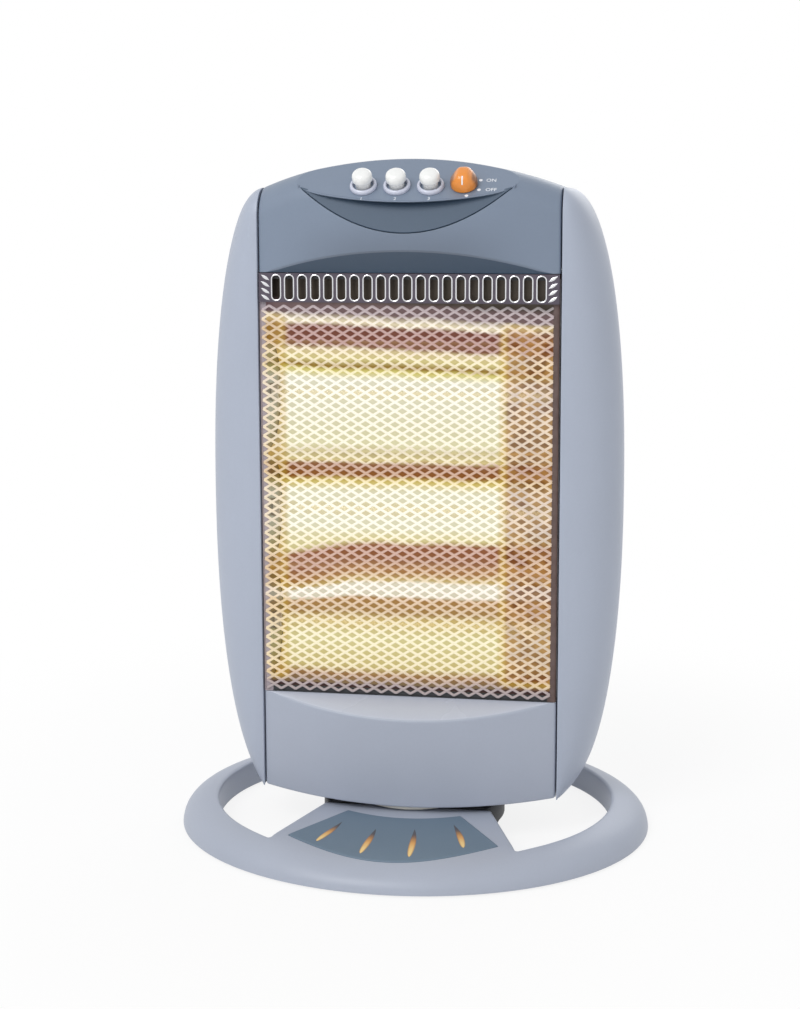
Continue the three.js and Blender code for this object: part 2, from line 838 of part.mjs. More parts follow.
addPiece('top_hood', toGeometry(makeHood()), 'hood');
const insertSlab = outline([
  [crescentY(crescentBottomZ), crescentBottomZ],
  [crescentY(crescentBottomZ) + crescentThickness, crescentBottomZ],
  [crescentY(crescentCornerZ) + crescentThickness, crescentCornerZ],
  [crescentY(crescentCornerZ), crescentCornerZ],
]);
const insert = prismY(crescentOutline(seatGap), lipY - 20, 0, 16).intersect(
  prismX(insertSlab, -crescentHalf, crescentHalf),
);
addPiece('crescent_insert', toGeometry(insert), 'dark');

// lower front panel: bowed like the hood, with a ledge under the window
function bowedPlan(inset, back) {
  const half = panelHalf - inset;
  const points = steps(24, -half, half).map((x) => [x, frontY(x) + inset]);
  points.push([half, back], [-half, back]);
  return outline(points);
}

const panelBack = guardFrameFront + sheet + guardFlangeDepth + 1;

function belowLedge(drop) {
  const slope = ledgeDrop / (windowDepthY - lipY);
  const side = outline([
    [lipY - past, -past],
    [0, -past],
    [0, windowBottom - drop],
    [windowDepthY, windowBottom - drop],
    [lipY - past, windowBottom - drop - slope * (windowDepthY - lipY + past)],
  ]);
  return prismX(side, -farOut, farOut);
}

function makeLowerPanel() {
  const cornerRise = bodyBottom + 1 - skirtBottom;
  const skirt = new THREE.Shape();
  skirt.moveTo(-seamHalf, skirtBottom + cornerRise);
  skirt.quadraticCurveTo(0, skirtBottom - cornerRise, seamHalf, skirtBottom + cornerRise);
  skirt.lineTo(seamHalf, windowTop);
  skirt.lineTo(-seamHalf, windowTop);
  const outer = prismZ(bowedPlan(0, panelBack), 0, windowTop)
    .intersect(prismY(skirt, lipY - 10, 10, 16))
    .intersect(belowLedge(0));
  const inner = prismZ(bowedPlan(wall, panelBack + 10), -10, windowTop).intersect(belowLedge(wall));
  return outer.subtract(inner);
}

addPiece('lower_front_panel', toGeometry(makeLowerPanel()), 'shell');

const bottomPlateFront = panelBack + seatGap;
const coverInner = backY - wall;
const bodyBottomPlate = cut(
  block(
    -panelHalf,
    panelHalf,
    bottomPlateFront,
    coverInner - seatGap,
    bottomPlateZ,
    bottomPlateTop,
  ),
  cylinderZ(spindleRadius + boreGap, bottomPlateZ - 1, bottomPlateTop + 1),
);
addPiece('body_bottom_plate', toGeometry(bodyBottomPlate), 'black');

// ---------------------------------------------------------------- rear cover

function makeRearCover() {
  let cover = block(
    -panelHalf,
    panelHalf,
    coverInner,
    backY,
    rearCoverBottom,
    windowTop - seamGap,
  );
  for (let column = 0; column < louvreColumns; column += 1) {
    const middle = louvreX * (2 * column - (louvreColumns - 1));
    for (let row = 0; row < louvreRows; row += 1) {
      const low = louvreFirstZ + row * louvrePitch;
      const x0 = middle - louvreWidth / 2;
      cover = cover.subtract(
        block(x0, x0 + louvreWidth, coverInner - 1, backY + 1, low, low + louvreHeight),
      );
    }
  }
  for (const x of [-screwX, screwX]) {
    for (const z of screwZs) {
      cover = cover.subtract(cylinderY(screwShankRadius + seatGap, coverInner - 1, backY + 1, x, z, 12));
    }
  }
  return cover.subtract(cylinderY(glandRadius + seatGap, coverInner - 1, backY + 1, glandX, glandZ, 20));
}

addPiece('rear_cover', toGeometry(makeRearCover()), 'shell');

for (const [side, x] of [['left', -screwX], ['right', screwX]]) {
  for (const [end, z] of [['lower', screwZs[0]], ['upper', screwZs[1]]]) {
    const headStart = backY + seatGap;
    const screw = union(
      cylinderY(screwHeadRadius, headStart, headStart + screwHeadHeight, x, z, 14),
      cylinderY(screwShankRadius, headStart - screwLength, headStart + 0.5, x, z, 10),
    );
    addPiece(`rear_screw_${end}_${side}`, toGeometry(screw), 'steel');
  }
}

const gland = cut(
  union(
    cylinderY(glandRadius, coverInner - 6, backY + glandProud, glandX, glandZ, 20),
    cylinderY(glandFlangeRadius, backY + seatGap, backY + seatGap + 2, glandX, glandZ, 20),
  ),
  cylinderY(glandBore, coverInner - 7, backY + glandProud + 1, glandX, glandZ, 14),
);
addPiece('cord_gland', toGeometry(gland), 'black');

// ---------------------------------------------------------------- guard

const guardHalf = seamHalf - 2 * seamGap;
const guardLow = windowBottom + seamGap;
const guardHigh = windowTop - seamGap;
const guardFrameBack = guardFrameFront + sheet;
const meshTop = guardHigh - ventStripHeight;

function makeGuardFrame() {
  const depthEnd = guardFrameBack + guardFlangeDepth;
  const plate = block(-guardHalf, guardHalf, guardFrameFront, depthEnd, guardLow, guardHigh);
  const hollow = block(
    -guardHalf + sheet,
    guardHalf - sheet,
    guardFrameBack,
    depthEnd + 1,
    guardLow + sheet,
    guardHigh - sheet,
  );
  const window = block(
    -guardHalf + guardFrameBorder,
    guardHalf - guardFrameBorder,
    guardFrameFront - 1,
    guardFrameBack + 1,
    guardLow + guardFrameBorder,
    meshTop,
  );
  let frame = cut(plate, hollow, window);
  const slotMiddle = (meshTop + guardHigh) / 2;
  const run = (ventSlotHeight - ventSlotWidth) / 2;
  for (let i = 0; i < ventSlotCount; i += 1) {
    const x = (i - (ventSlotCount - 1) / 2) * ventSlotPitch;
    const slot = new THREE.Shape();
    slot.absarc(x, slotMiddle + run, ventSlotWidth / 2, 0, Math.PI, false);
    slot.absarc(x, slotMiddle - run, ventSlotWidth / 2, Math.PI, 2 * Math.PI, false);
    frame = frame.subtract(prismY(slot, guardFrameFront - 1, guardFrameBack + 1, 3));
  }
  return frame;
}

addPiece('guard_frame', toGeometry(makeGuardFrame()), 'steel');

// expanded mesh: staggered diamond gaps in one flat sheet
function makeGuardMesh() {
  const front = guardFrameBack + seatGap;
  const half = guardHalf - sheet - seatGap;
  const low = guardLow + sheet + seatGap;
  const high = meshTop + 2;
  const cellWidth = (2 * (guardHalf - guardFrameBorder)) / meshColumns;
  const cellHeight = (meshTop - guardLow - guardFrameBorder) / meshRows;
  const shape = outline([[-half, low], [half, low], [half, high], [-half, high]]);
  const reachX = cellWidth / 2 - meshStrand * 0.75;
  const reachZ = cellHeight / 2 - meshStrand * 0.6;
  for (let row = 0; row < 2 * meshRows - 1; row += 1) {
    const z = guardLow + guardFrameBorder + (row + 1) * (cellHeight / 2);
    const shifted = row % 2 === 1;
    const count = shifted ? meshColumns - 1 : meshColumns;
    for (let column = 0; column < count; column += 1) {
      const x = (column - (count - 1) / 2) * cellWidth;
      shape.holes.push(
        outline([[x - reachX, z], [x, z - reachZ], [x + reachX, z], [x, z + reachZ]]),
      );
    }
  }
  return prismY(shape, front, front + meshThickness);
}

addPiece('guard_mesh', toGeometry(makeGuardMesh()), 'steel');

// ---------------------------------------------------------------- reflector and lamps

const lampZs = steps(lampCount - 1, -1, 1).map((k) => lampMiddleZ + k * lampPitch * ((lampCount - 1) / 2));
const reflectorHalf = endPlateInner - seatGap;

function reflectorLine(back) {
  const points = [];
  const edge = lampPitch / 2 - troughHalf;
  lampZs.forEach((z) => {
    points.push([reflectorRidgeY + back, z - troughHalf - edge / 2]);
    for (const t of steps(9, -Math.PI / 2, Math.PI / 2)) {
      const depth = reflectorDepth * Math.cos(t) ** 0.8;
      points.push([reflectorRidgeY + back + depth, z + (troughHalf + back) * Math.sin(t)]);
    }
    points.push([reflectorRidgeY + back, z + troughHalf + edge / 2]);
  });
  return points;
}

const reflectorSide = [...reflectorLine(0), ...reflectorLine(sheet).reverse()];
const reflector = prismX(outline(reflectorSide), -reflectorHalf, reflectorHalf);
addPiece('reflector', toGeometry(reflector), 'mirror');

const endPlateLow = rearCoverBottom + endPlateLift;
const endPlateFront = panelBack + seatGap;

function makeEndPlate() {
  const outer = endPlateInner + sheet;
  const backInner = coverInner - seatGap;
  const plan = outline([
    [endPlateInner, endPlateFront],
    [outer, endPlateFront],
    [outer, backInner],
    [outer - endPlateFlange, backInner],
    [outer - endPlateFlange, backInner - sheet],
    [endPlateInner, backInner - sheet],
  ]);
  let plate = prismZ(plan, endPlateLow, windowTop - endPlateDrop);
  lampZs.forEach((z) => {
    plate = plate.subtract(
      cylinderX(lampCapRadius + seatGap, endPlateInner - 1, outer + 1, lampY, z),
    );
  });
  screwZs.forEach((z) => {
    plate = plate.subtract(
      cylinderY(screwShankRadius + seatGap, backInner - 3, backInner + 1, screwX, z, 12),
    );
  });
  return plate;
}

const rightEndPlate = toGeometry(makeEndPlate());
addPiece('end_plate_right', rightEndPlate, 'steel');
addPiece('end_plate_left', mirrored(rightEndPlate), 'steel');

lampZs.forEach((z, i) => {
  const number = lampZs.length - i;
  const quartzHalf = lampCapInner - seatGap;
  const quartz = cut(
    cylinderX(quartzRadius, -quartzHalf, quartzHalf, lampY, z, 14),
    cylinderX(quartzRadius - quartzWall, -quartzHalf - 1, quartzHalf + 1, lampY, z, 14),
  );
  addPiece(`quartz_tube_${number}`, toGeometry(quartz), 'glow');
  const filament = cylinderX(filamentRadius, -quartzHalf, quartzHalf, lampY, z, 8);
  addPiece(`filament_${number}`, toGeometry(filament), 'filament');
  for (const [side, sign] of [['left', -1], ['right', 1]]) {
    const near = sign * lampCapInner;
    const far = sign * (lampCapInner + lampCapLength);
    const cap = cylinderX(lampCapRadius, Math.min(near, far), Math.max(near, far), lampY, z);
    addPiece(`lamp_cap_${side}_${number}`, toGeometry(cap), 'ceramic');
  }
});

const cutoutFront = reflectorRidgeY + reflectorDepth + sheet + seatGap;
addPiece(
  'thermal_cutout',
  toGeometry(
    cylinderY(cutoutRadius, cutoutFront, cutoutFront + cutoutLength, cutoutX, lampZs[lampZs.length - 1]),
  ),
  'black',
);

addPiece(
  'terminal_block',
  toGeometry(
    block(
      terminalX - terminalLength / 2,
      terminalX + terminalLength / 2,
      terminalY - terminalDepth / 2,
      terminalY + terminalDepth / 2,
      nutBottom,
      nutBottom + terminalHeight,
    ),
  ),
  'nylon',
);

// ---------------------------------------------------------------- controls

const deckUnder = -wall - seatGap;
const skirtUnder = -6; // a button's lower end
const sleeveLow = skirtUnder - buttonTravel - 0.7;

buttonXs.forEach((x, i) => {
  const number = i + 1;
  const bore = buttonRadius + buttonPlay;
  const collar = turned([
    [bore, seatGap],
    [collarRadius, seatGap],
    [collarRadius - 0.8, collarHeight],
    [bore, collarHeight + 0.4],
    [bore, seatGap],
  ], 16);
  addPiece(`button_collar_${number}`, collar, 'collar', deck).position.set(x, buttonUp, 0);

  const cap = turned([
    [0, skirtUnder - stemLength],
    [stemRadius, skirtUnder - stemLength],
    [stemRadius, skirtUnder],
    [buttonRadius, skirtUnder],
    [buttonRadius, buttonProud - capRound],
    [buttonRadius - capRound, buttonProud - capCrown],
    [0, buttonProud],
  ], 16);
  addPiece(`button_cap_${number}`, cap, 'cap', deck).position.set(x, buttonUp, 0);

  const half = switchSize / 2;
  const housing = cut(
    union(
      block(-half, half, -half, half, sleeveLow - switchDepth, sleeveLow),
      cylinderZ(half, sleeveLow - 1, deckUnder, 0, 0, 14),
    ),
    cylinderZ(bore, sleeveLow, deckUnder + 1, 0, 0, 14),
    cylinderZ(stemRadius + 0.5, sleeveLow - switchDepth + 1.2, sleeveLow + 1, 0, 0, 10),
  );
  addPiece(`push_switch_${number}`, toGeometry(housing), 'black', deck).position.set(x, buttonUp, 0);
});

const knobTop = seatGap + knobHeight;
const knobBody = union(
  toSolid(
    turned([
      [0, seatGap],
      [knobRadius, seatGap],
      [knobRadius - knobDraft, knobTop - knobRound],
      [knobRadius - knobDraft - knobRound, knobTop],
      [0, knobTop],
    ], 20),
  ),
  block(
    -knobGripWidth / 2,
    knobGripWidth / 2,
    knobDraft - knobRadius,
    knobRadius - knobDraft,
    knobTop - knobRound,
    knobTop + knobGripHeight,
  ),
  cylinderZ(knobShaftRadius, deckUnder - knobShaftLength, seatGap + knobRound, 0, 0, 16),
);
addPiece('knob', toGeometry(knobBody), 'orange', deck).position.set(knobX, knobUp, 0);

const rotaryHousing = cut(
  cylinderZ(rotarySwitchRadius, deckUnder - rotarySwitchDepth, deckUnder, 0, 0, 20),
  cylinderZ(knobShaftRadius + boreGap, deckUnder - knobShaftLength - runGap, deckUnder + 1, 0, 0, 16),
);
addPiece('rotary_switch', toGeometry(rotaryHousing), 'black', deck).position.set(knobX, knobUp, 0);

export default heater;
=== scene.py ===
# %% [markdown]
# # A halogen heater, dressed around its engineering model
# The solids give every size and every moving joint. This lesson gives the same heater its looks:
# smooth moulded covers, a fine expanded mesh, polished troughs behind glowing tubes. Lengths are
# in millimetres until the last step of each piece, and the front of the heater faces -Y.

# %% Load the frame
import math

import bmesh
import bpy
import numpy as np
from mathutils import Matrix, Vector
from mathutils.geometry import delaunay_2d_cdt


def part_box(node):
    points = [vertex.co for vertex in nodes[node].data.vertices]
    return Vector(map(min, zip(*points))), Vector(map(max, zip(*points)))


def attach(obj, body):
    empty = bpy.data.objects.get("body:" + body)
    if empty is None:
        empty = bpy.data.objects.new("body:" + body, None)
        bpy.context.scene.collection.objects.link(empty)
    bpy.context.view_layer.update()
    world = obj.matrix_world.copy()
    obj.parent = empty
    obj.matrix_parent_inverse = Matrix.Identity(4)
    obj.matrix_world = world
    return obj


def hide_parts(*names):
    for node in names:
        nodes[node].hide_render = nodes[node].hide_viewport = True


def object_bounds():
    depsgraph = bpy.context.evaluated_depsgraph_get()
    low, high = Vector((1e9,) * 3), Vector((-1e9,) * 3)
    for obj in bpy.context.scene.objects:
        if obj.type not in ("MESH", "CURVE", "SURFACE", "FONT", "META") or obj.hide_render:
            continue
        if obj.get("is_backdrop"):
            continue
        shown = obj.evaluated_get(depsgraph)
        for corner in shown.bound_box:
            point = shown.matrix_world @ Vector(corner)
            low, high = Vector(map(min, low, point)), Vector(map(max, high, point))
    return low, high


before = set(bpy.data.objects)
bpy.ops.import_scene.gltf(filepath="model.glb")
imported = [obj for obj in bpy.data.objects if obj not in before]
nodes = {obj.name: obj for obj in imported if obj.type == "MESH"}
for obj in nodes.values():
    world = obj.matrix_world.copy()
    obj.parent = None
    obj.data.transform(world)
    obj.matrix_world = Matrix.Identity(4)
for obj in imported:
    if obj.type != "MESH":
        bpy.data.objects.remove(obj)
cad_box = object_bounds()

MM = 0.001

# %% [markdown]
# ## The camera first
# The picture is upright, 800 by 1009, and the heater is seen from a little to the right and
# from above. A camera with a long lens and a small shift keeps the verticals nearly upright.

# %% Camera
IMAGE_WIDTH, IMAGE_HEIGHT = 800, 1009
FOCAL_PIXELS = 1664.25
OPTICAL_CENTRE = (432.07, 440.0)
CAMERA_PLACE = Vector((181.6, -1156.8, 445.5)) * MM
CAMERA_YAW = math.radians(8.30)
CAMERA_PITCH = math.radians(8.06)
SENSOR = 36.0


def make_camera():
    data = bpy.data.cameras.new("camera")
    data.sensor_width = SENSOR
    data.lens = SENSOR * FOCAL_PIXELS / IMAGE_HEIGHT
    data.shift_x = (IMAGE_WIDTH / 2 - OPTICAL_CENTRE[0]) / IMAGE_HEIGHT
    data.shift_y = (OPTICAL_CENTRE[1] - IMAGE_HEIGHT / 2) / IMAGE_HEIGHT
    camera = bpy.data.objects.new("camera", data)
    bpy.context.scene.collection.objects.link(camera)
    forward = Vector((
        -math.sin(CAMERA_YAW) * math.cos(CAMERA_PITCH),
        math.cos(CAMERA_YAW) * math.cos(CAMERA_PITCH),
        -math.sin(CAMERA_PITCH),
    ))
    camera.location = CAMERA_PLACE
    camera.rotation_mode = "QUATERNION"
    camera.rotation_quaternion = forward.to_track_quat("-Z", "Y")
    bpy.context.scene.camera = camera
    return camera


print("lens", round(make_camera().data.lens, 1), "mm")

# %% [markdown]
# ## Node trees as expressions
# Every finish below is a node tree. A socket wrapped in a small class can be added, multiplied
# and compared as numbers are, and each operation adds its own Math node. Any other node comes
# from one method, which sets the node's options first and then its sockets.


# %% Tree and Value helpers
class Value:
    """An output socket that does sums."""

    def __init__(self, tree, socket):
        self.tree = tree
        self.socket = socket

    def _math(self, operation, *operands):
        return self.tree.node("ShaderNodeMath", {"operation": operation}, dict(enumerate(operands)))

    def __add__(self, other):
        return self._math("ADD", self, other)

    def __sub__(self, other):
        return self._math("SUBTRACT", self, other)

    def __rsub__(self, other):
        return self._math("SUBTRACT", other, self)

    def __mul__(self, other):
        return self._math("MULTIPLY", self, other)

    def __truediv__(self, other):
        return self._math("DIVIDE", self, other)

    def __pow__(self, other):
        return self._math("POWER", self, other)

    __radd__ = __add__
    __rmul__ = __mul__

    def size(self):
        return self._math("ABSOLUTE", self)

    def between(self, low, high):
        """0 below low, 1 above high, smooth between."""
        settings = {"interpolation_type": "SMOOTHSTEP"}
        return self.tree.node("ShaderNodeMapRange", settings, {0: self, 1: low, 2: high})

    def out(self, name):
        return Value(self.tree, self.socket.node.outputs[name])


class Tree:
    def __init__(self, tree):
        self.tree = tree

    def node(self, kind, settings=None, inputs=None):
        node = self.tree.nodes.new(kind)
        for name, value in (settings or {}).items():
            if name == "stops":
                self.set_stops(node.color_ramp, value)
            else:
                setattr(node, name, value)
        for key, value in (inputs or {}).items():
            self.put(node.inputs[key], value)
        shown = [s for s in node.outputs if s.enabled]
        return Value(self, shown[0]) if shown else node

    def set_stops(self, ramp, stops):
        """A colour scale's stops, each (place, colour)."""
        while len(ramp.elements) < len(stops):
            ramp.elements.new(1.0)
        for element, (place, colour) in zip(ramp.elements, stops):
            element.position = place
            element.color = colour

    def put(self, socket, value):
        if isinstance(value, Value):
            self.tree.links.new(value.socket, socket)
        else:
            socket.default_value = value


print("helpers ready")

# %% [markdown]
# ## Finishes
# A moulded plastic is never one flat colour. Its pigment drifts a little over the part, its
# spark-eroded grain breaks up the gloss, and the grain shows as a very fine bump. All of this is
# procedural on Object coordinates, so nothing slides when the heater swings.


# %% Finish: shared parts
def srgb(code):
    """A written colour such as a9b0bf as linear red, green and blue."""
    parts = [int(code[i:i + 2], 16) / 255 for i in (0, 2, 4)]
    linear = [c / 12.92 if c <= 0.04045 else ((c + 0.055) / 1.055) ** 2.4 for c in parts]
    return (*linear, 1.0)


class Finish(Tree):
    """A material with its surface shader and the coordinates that patterns use."""

    def __init__(self, name, **sockets):
        self.material = bpy.data.materials.new(name)
        self.material.use_nodes = True
        super().__init__(self.material.node_tree)
        self.surface = self.tree.nodes["Principled BSDF"]
        self.place = self.node("ShaderNodeTexCoord").out("Object")
        split = self.node("ShaderNodeSeparateXYZ", None, {0: self.place})
        self.x, self.y, self.z = (split.out(axis) for axis in "XYZ")
        for key, value in sockets.items():
            self.set(key.replace("_", " ").title(), value)

    def set(self, name, value):
        self.put(self.surface.inputs[name], value)

    def noise(self, scale, detail=2.0, place=None):
        inputs = {"Vector": place or self.place, "Scale": scale, "Detail": detail}
        return self.node("ShaderNodeTexNoise", None, inputs)

    def mix(self, factor, first, second, blend="MIX"):
        settings = {"data_type": "RGBA", "blend_type": blend}
        node = self.node("ShaderNodeMix", settings, {0: factor, 6: first, 7: second})
        return Value(self, node.socket.node.outputs[2])

    def bump(self, height, distance, strength=1.0):
        inputs = {"Height": height, "Distance": distance, "Strength": strength}
        self.set("Normal", self.node("ShaderNodeBump", None, inputs))


def shade(colour, factor):
    return (*[min(1.0, c * factor) for c in colour[:3]], 1.0)


GRAIN_SCALE = 2600.0
DRIFT_SCALE = 14.0


def moulded(name, code, roughness=0.42, grain=0.00003, drift=0.05, coat=0.0):
    finish = Finish(name)
    colour = srgb(code)
    drifting = finish.noise(DRIFT_SCALE, 3.0)
    specks = finish.noise(GRAIN_SCALE / 4, 1.0)
    tone = finish.mix(drifting, shade(colour, 1 - drift), shade(colour, 1 + drift))
    finish.set("Base Color", finish.mix(specks.between(0.3, 0.8) * 0.08, tone, shade(colour, 0.8)))
    finish.set("Roughness", roughness - 0.05 + drifting * 0.1)
    finish.set("Coat Weight", coat)
    finish.bump(finish.noise(GRAIN_SCALE, 2.0), grain)
    return finish.material


def metal(name, code, roughness=0.25, drift=0.1, brushed=(1.0, 1.0, 1.0)):
    finish = Finish(name, metallic=1.0)
    colour = srgb(code)
    mapping = {"Vector": finish.place, "Scale": brushed}
    stretched = finish.node("ShaderNodeMapping", None, mapping)
    streaks = finish.noise(180.0, 4.0, stretched)
    tone = finish.mix(streaks, shade(colour, 1 - drift), shade(colour, 1 + drift))
    finish.set("Base Color", tone)
    finish.set("Roughness", roughness - 0.06 + streaks * 0.12)
    finish.bump(streaks, 0.00002)
    return finish.material


# %% [markdown]
# ## The heater's own finishes
# The covers are one plastic in nearly the same blue-grey, the hood a darker one, and the guard is
# plated steel. One material with a picture could colour them all, but a short call for each finish
# keeps every colour in one line, where it is easily compared with the real heater.

# %% Finish: the heater's plastics and metals
SHELL = moulded("pale blue-grey plastic", "a9b1c1")
LOWER = moulded("pale blue-grey front plastic", "a8afbe")
BASE = moulded("pale blue-grey base plastic", "a8afbe")
# The ledge's paler colour is a painted highlight along it; its lower roughness is the plastic's own.
LEDGE_PAINTED_HIGHLIGHT = moulded("pale polished ledge", "bcc2d0", 0.28)


def hood_plastic():
    """The hood's grey, with a painted shade that darkens it low in the middle, where the bow turns under.
    """
    finish = Finish("mid blue-grey plastic")
    colour = srgb("7a879a")
    drifting, specks = finish.noise(DRIFT_SCALE, 3.0), finish.noise(GRAIN_SCALE / 4, 1.0)
    # Painted shade: darker low in the middle of the hood, under the bow.
    low = (1 - finish.z.between(0.405, 0.445)) * (1 - finish.x.size().between(0.02, 0.1))
    tone = finish.mix(drifting, shade(colour, 0.95), shade(colour, 1.05))
    tone = finish.mix(low, tone, shade(colour, 0.68))
    finish.set("Base Color", finish.mix(specks.between(0.3, 0.8) * 0.08, tone, shade(colour, 0.8)))
    finish.set("Roughness", 0.37 + drifting * 0.1)
    finish.bump(finish.noise(GRAIN_SCALE, 2.0), 0.00003)
    return finish.material


HOOD = hood_plastic()
ACCENT = moulded("slate plastic", "405266", 0.5)
INSET = moulded("slate base plate", "677a8c", 0.5)
BLACK = moulded("black plastic", "26282c", 0.5)
CAP = moulded("white button plastic", "eeefee", 0.22, 0.00001, 0.02, 0.6)
COLLAR = moulded("lilac collar plastic", "c9cddd", 0.3, 0.00001, 0.03, 0.4)
ORANGE = moulded("orange knob plastic", "f0942f", 0.3, 0.00001, 0.06, 0.5)
MARK = moulded("white printed ink", "eef1f6", 0.5, 0.00001, 0.02)
RUBBER = moulded("black rubber", "1b1c1e", 0.85, 0.00008)
NYLON = moulded("natural nylon", "dedbd0", 0.5)
CERAMIC = moulded("white ceramic", "e4e0d4", 0.75, 0.00006)
STEEL = metal("zinc plated steel", "b9bcc2", 0.34, 0.12, (1.0, 1.0, 8.0))
PLATED = metal("bright plated guard steel", "dfdfe2", 0.22, 0.08)
FRAME_METAL = metal("dull plated frame steel", "5f5963", 0.42, 0.16)


def border_finish():
    """The frame's narrow border: a painted highlight on the left, warm brown on the right, dark below."""
    finish = Finish("guard border steel", roughness=0.5)
    worn = finish.noise(160.0, 3.0)
    tone = finish.mix(worn, srgb("202226"), srgb("34363a"))
    left, right = (finish.x * -1.0).between(0.098, 0.0987), finish.x.between(0.098, 0.0987)
    # Painted highlight: the left border is pale where it catches the light.
    tone = finish.mix(left, tone, finish.mix(worn, srgb("908690"), srgb("b4aaae")))
    finish.set("Base Color", finish.mix(right, tone, finish.mix(worn, srgb("483634"), srgb("705e5a"))))
    return finish.material


BORDER_METAL = border_finish()
REAR = moulded("powder coated steel", "9aa3b3", 0.55, 0.0001)
print("finishes:", len(bpy.data.materials))

# %% [markdown]
# ## From rows of points to a moulded shell
# The covers of a heater are thin shells whose shape follows a rule: a section that changes from
# row to row. So each is a grid of points made with numpy, its corners softened by short curves.
# The grid becomes a mesh, its doubled points are merged, and Solidify gives it a wall.


# %% Mesh helpers
def grid_object(name, grid, wall=0.0, closed=False, kinds=None):
    """Rows of points in millimetres as one mesh, thickened inwards by a wall."""
    rows, columns = grid.shape[:2]
    faces = []
    face_kinds = []
    for i in range(rows - 1):
        for j in range(columns if closed else columns - 1):
            k = (j + 1) % columns
            faces.append((i * columns + j, i * columns + k, (i + 1) * columns + k, (i + 1) * columns + j))
            face_kinds.append(0 if kinds is None else kinds[j])
    mesh = bpy.data.meshes.new(name)
    mesh.from_pydata((grid.reshape(-1, 3) * MM).tolist(), [], faces)
    mesh.polygons.foreach_set("material_index", face_kinds)
    return tidy(new_object(name, mesh), wall)


def new_object(name, mesh):
    thing = bpy.data.objects.new(name, mesh)
    bpy.context.scene.collection.objects.link(thing)
    return thing


def tidy(thing, wall=0.0, sharp=35.0):
    """Merges doubles, thickens, and shades smooth except over sharp edges."""
    work = bmesh.new()
    work.from_mesh(thing.data)
    bmesh.ops.remove_doubles(work, verts=work.verts, dist=0.01 * MM)
    bmesh.ops.dissolve_degenerate(work, dist=0.005 * MM, edges=work.edges)
    bmesh.ops.recalc_face_normals(work, faces=work.faces)
    work.to_mesh(thing.data)
    work.free()
    if wall:
        solid = thing.modifiers.new("wall", "SOLIDIFY")
        solid.thickness = wall * MM
        solid.offset = -1.0
        bake(thing)
    thing.data.shade_smooth()
    thing.data.set_sharp_from_angle(angle=math.radians(sharp))
    return thing


def bake(thing):
    """Turns the modifiers' result into the object's own mesh."""
    evaluated = thing.evaluated_get(bpy.context.evaluated_depsgraph_get())
    mesh = bpy.data.meshes.new_from_object(evaluated)
    thing.modifiers.clear()
    thing.data = mesh
    return thing


def finish_piece(thing, body, slot, finishes, *replaced):
    finishes = finishes if isinstance(finishes, (list, tuple)) else [finishes]
    kinds = np.zeros(len(thing.data.polygons), np.int32)
    thing.data.polygons.foreach_get("material_index", kinds)
    thing.data.materials.clear()
    for finish in finishes:
        thing.data.materials.append(finish)
    thing.data.polygons.foreach_set("material_index", np.minimum(kinds, len(finishes) - 1))
    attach(thing, body)
    if replaced:
        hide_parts(*replaced)
    return thing


def soften(points, corners, steps=4):
    """Replaces the named corners of a line by short curves, each (index, radius)."""
    points = [np.asarray(p, float) for p in points]
    radii = dict(corners)
    line = []
    for i, point in enumerate(points):
        if i not in radii:
            line.append(point)
            continue
        before, after = points[i - 1] - point, points[(i + 1) % len(points)] - point
        reach = [min(radii[i], 0.45 * np.linalg.norm(leg)) for leg in (before, after)]
        start = point + before * reach[0] / max(np.linalg.norm(before), 1e-9)
        end = point + after * reach[1] / max(np.linalg.norm(after), 1e-9)
        for t in np.linspace(0, 1, steps + 1):
            line.append((1 - t) ** 2 * start + 2 * t * (1 - t) * point + t * t * end)
    return line


def resample(points, count):
    """count + 1 points evenly along a line, ends kept."""
    points = np.asarray(points, float)
    walked = np.r_[0, np.cumsum(np.linalg.norm(np.diff(points, axis=0), axis=1))]
    if walked[-1] < 1e-9:
        return np.repeat(points[:1], count + 1, axis=0)
    wanted = np.linspace(0, walked[-1], count + 1)
    return np.stack([np.interp(wanted, walked, points[:, k]) for k in range(points.shape[1])], 1)


def turned_object(name, profile, segments=64, centre=(0, 0, 0), axis="Z"):
    """A closed profile of (radius, height) turned about an axis through centre."""
    angles = np.linspace(0, 2 * math.pi, segments, endpoint=False)
    profile = np.asarray(profile, float)
    radius, height = profile[:, 0], profile[:, 1]
    ring = np.stack([
        radius[:, None] * np.cos(angles),
        radius[:, None] * np.sin(angles),
        np.repeat(height[:, None], segments, axis=1),
    ], -1)
    if axis == "X":
        ring = ring[..., [2, 0, 1]]
    if axis == "Y":
        ring = ring[..., [1, 2, 0]]
    return grid_object(name, ring + np.asarray(centre, float), closed=True)


print("mesh helpers ready")

# %% [markdown]
# ## The body's driving shapes
# Two rules give nearly all of the body. Seen from the front its sides follow a superellipse,
# and the middle panels bow forward on one arc. The sizes come from the frame's own boxes.


# %% Body shapes
def mm_box(node):
    low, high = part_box(node)
    return np.array(low) / MM, np.array(high) / MM


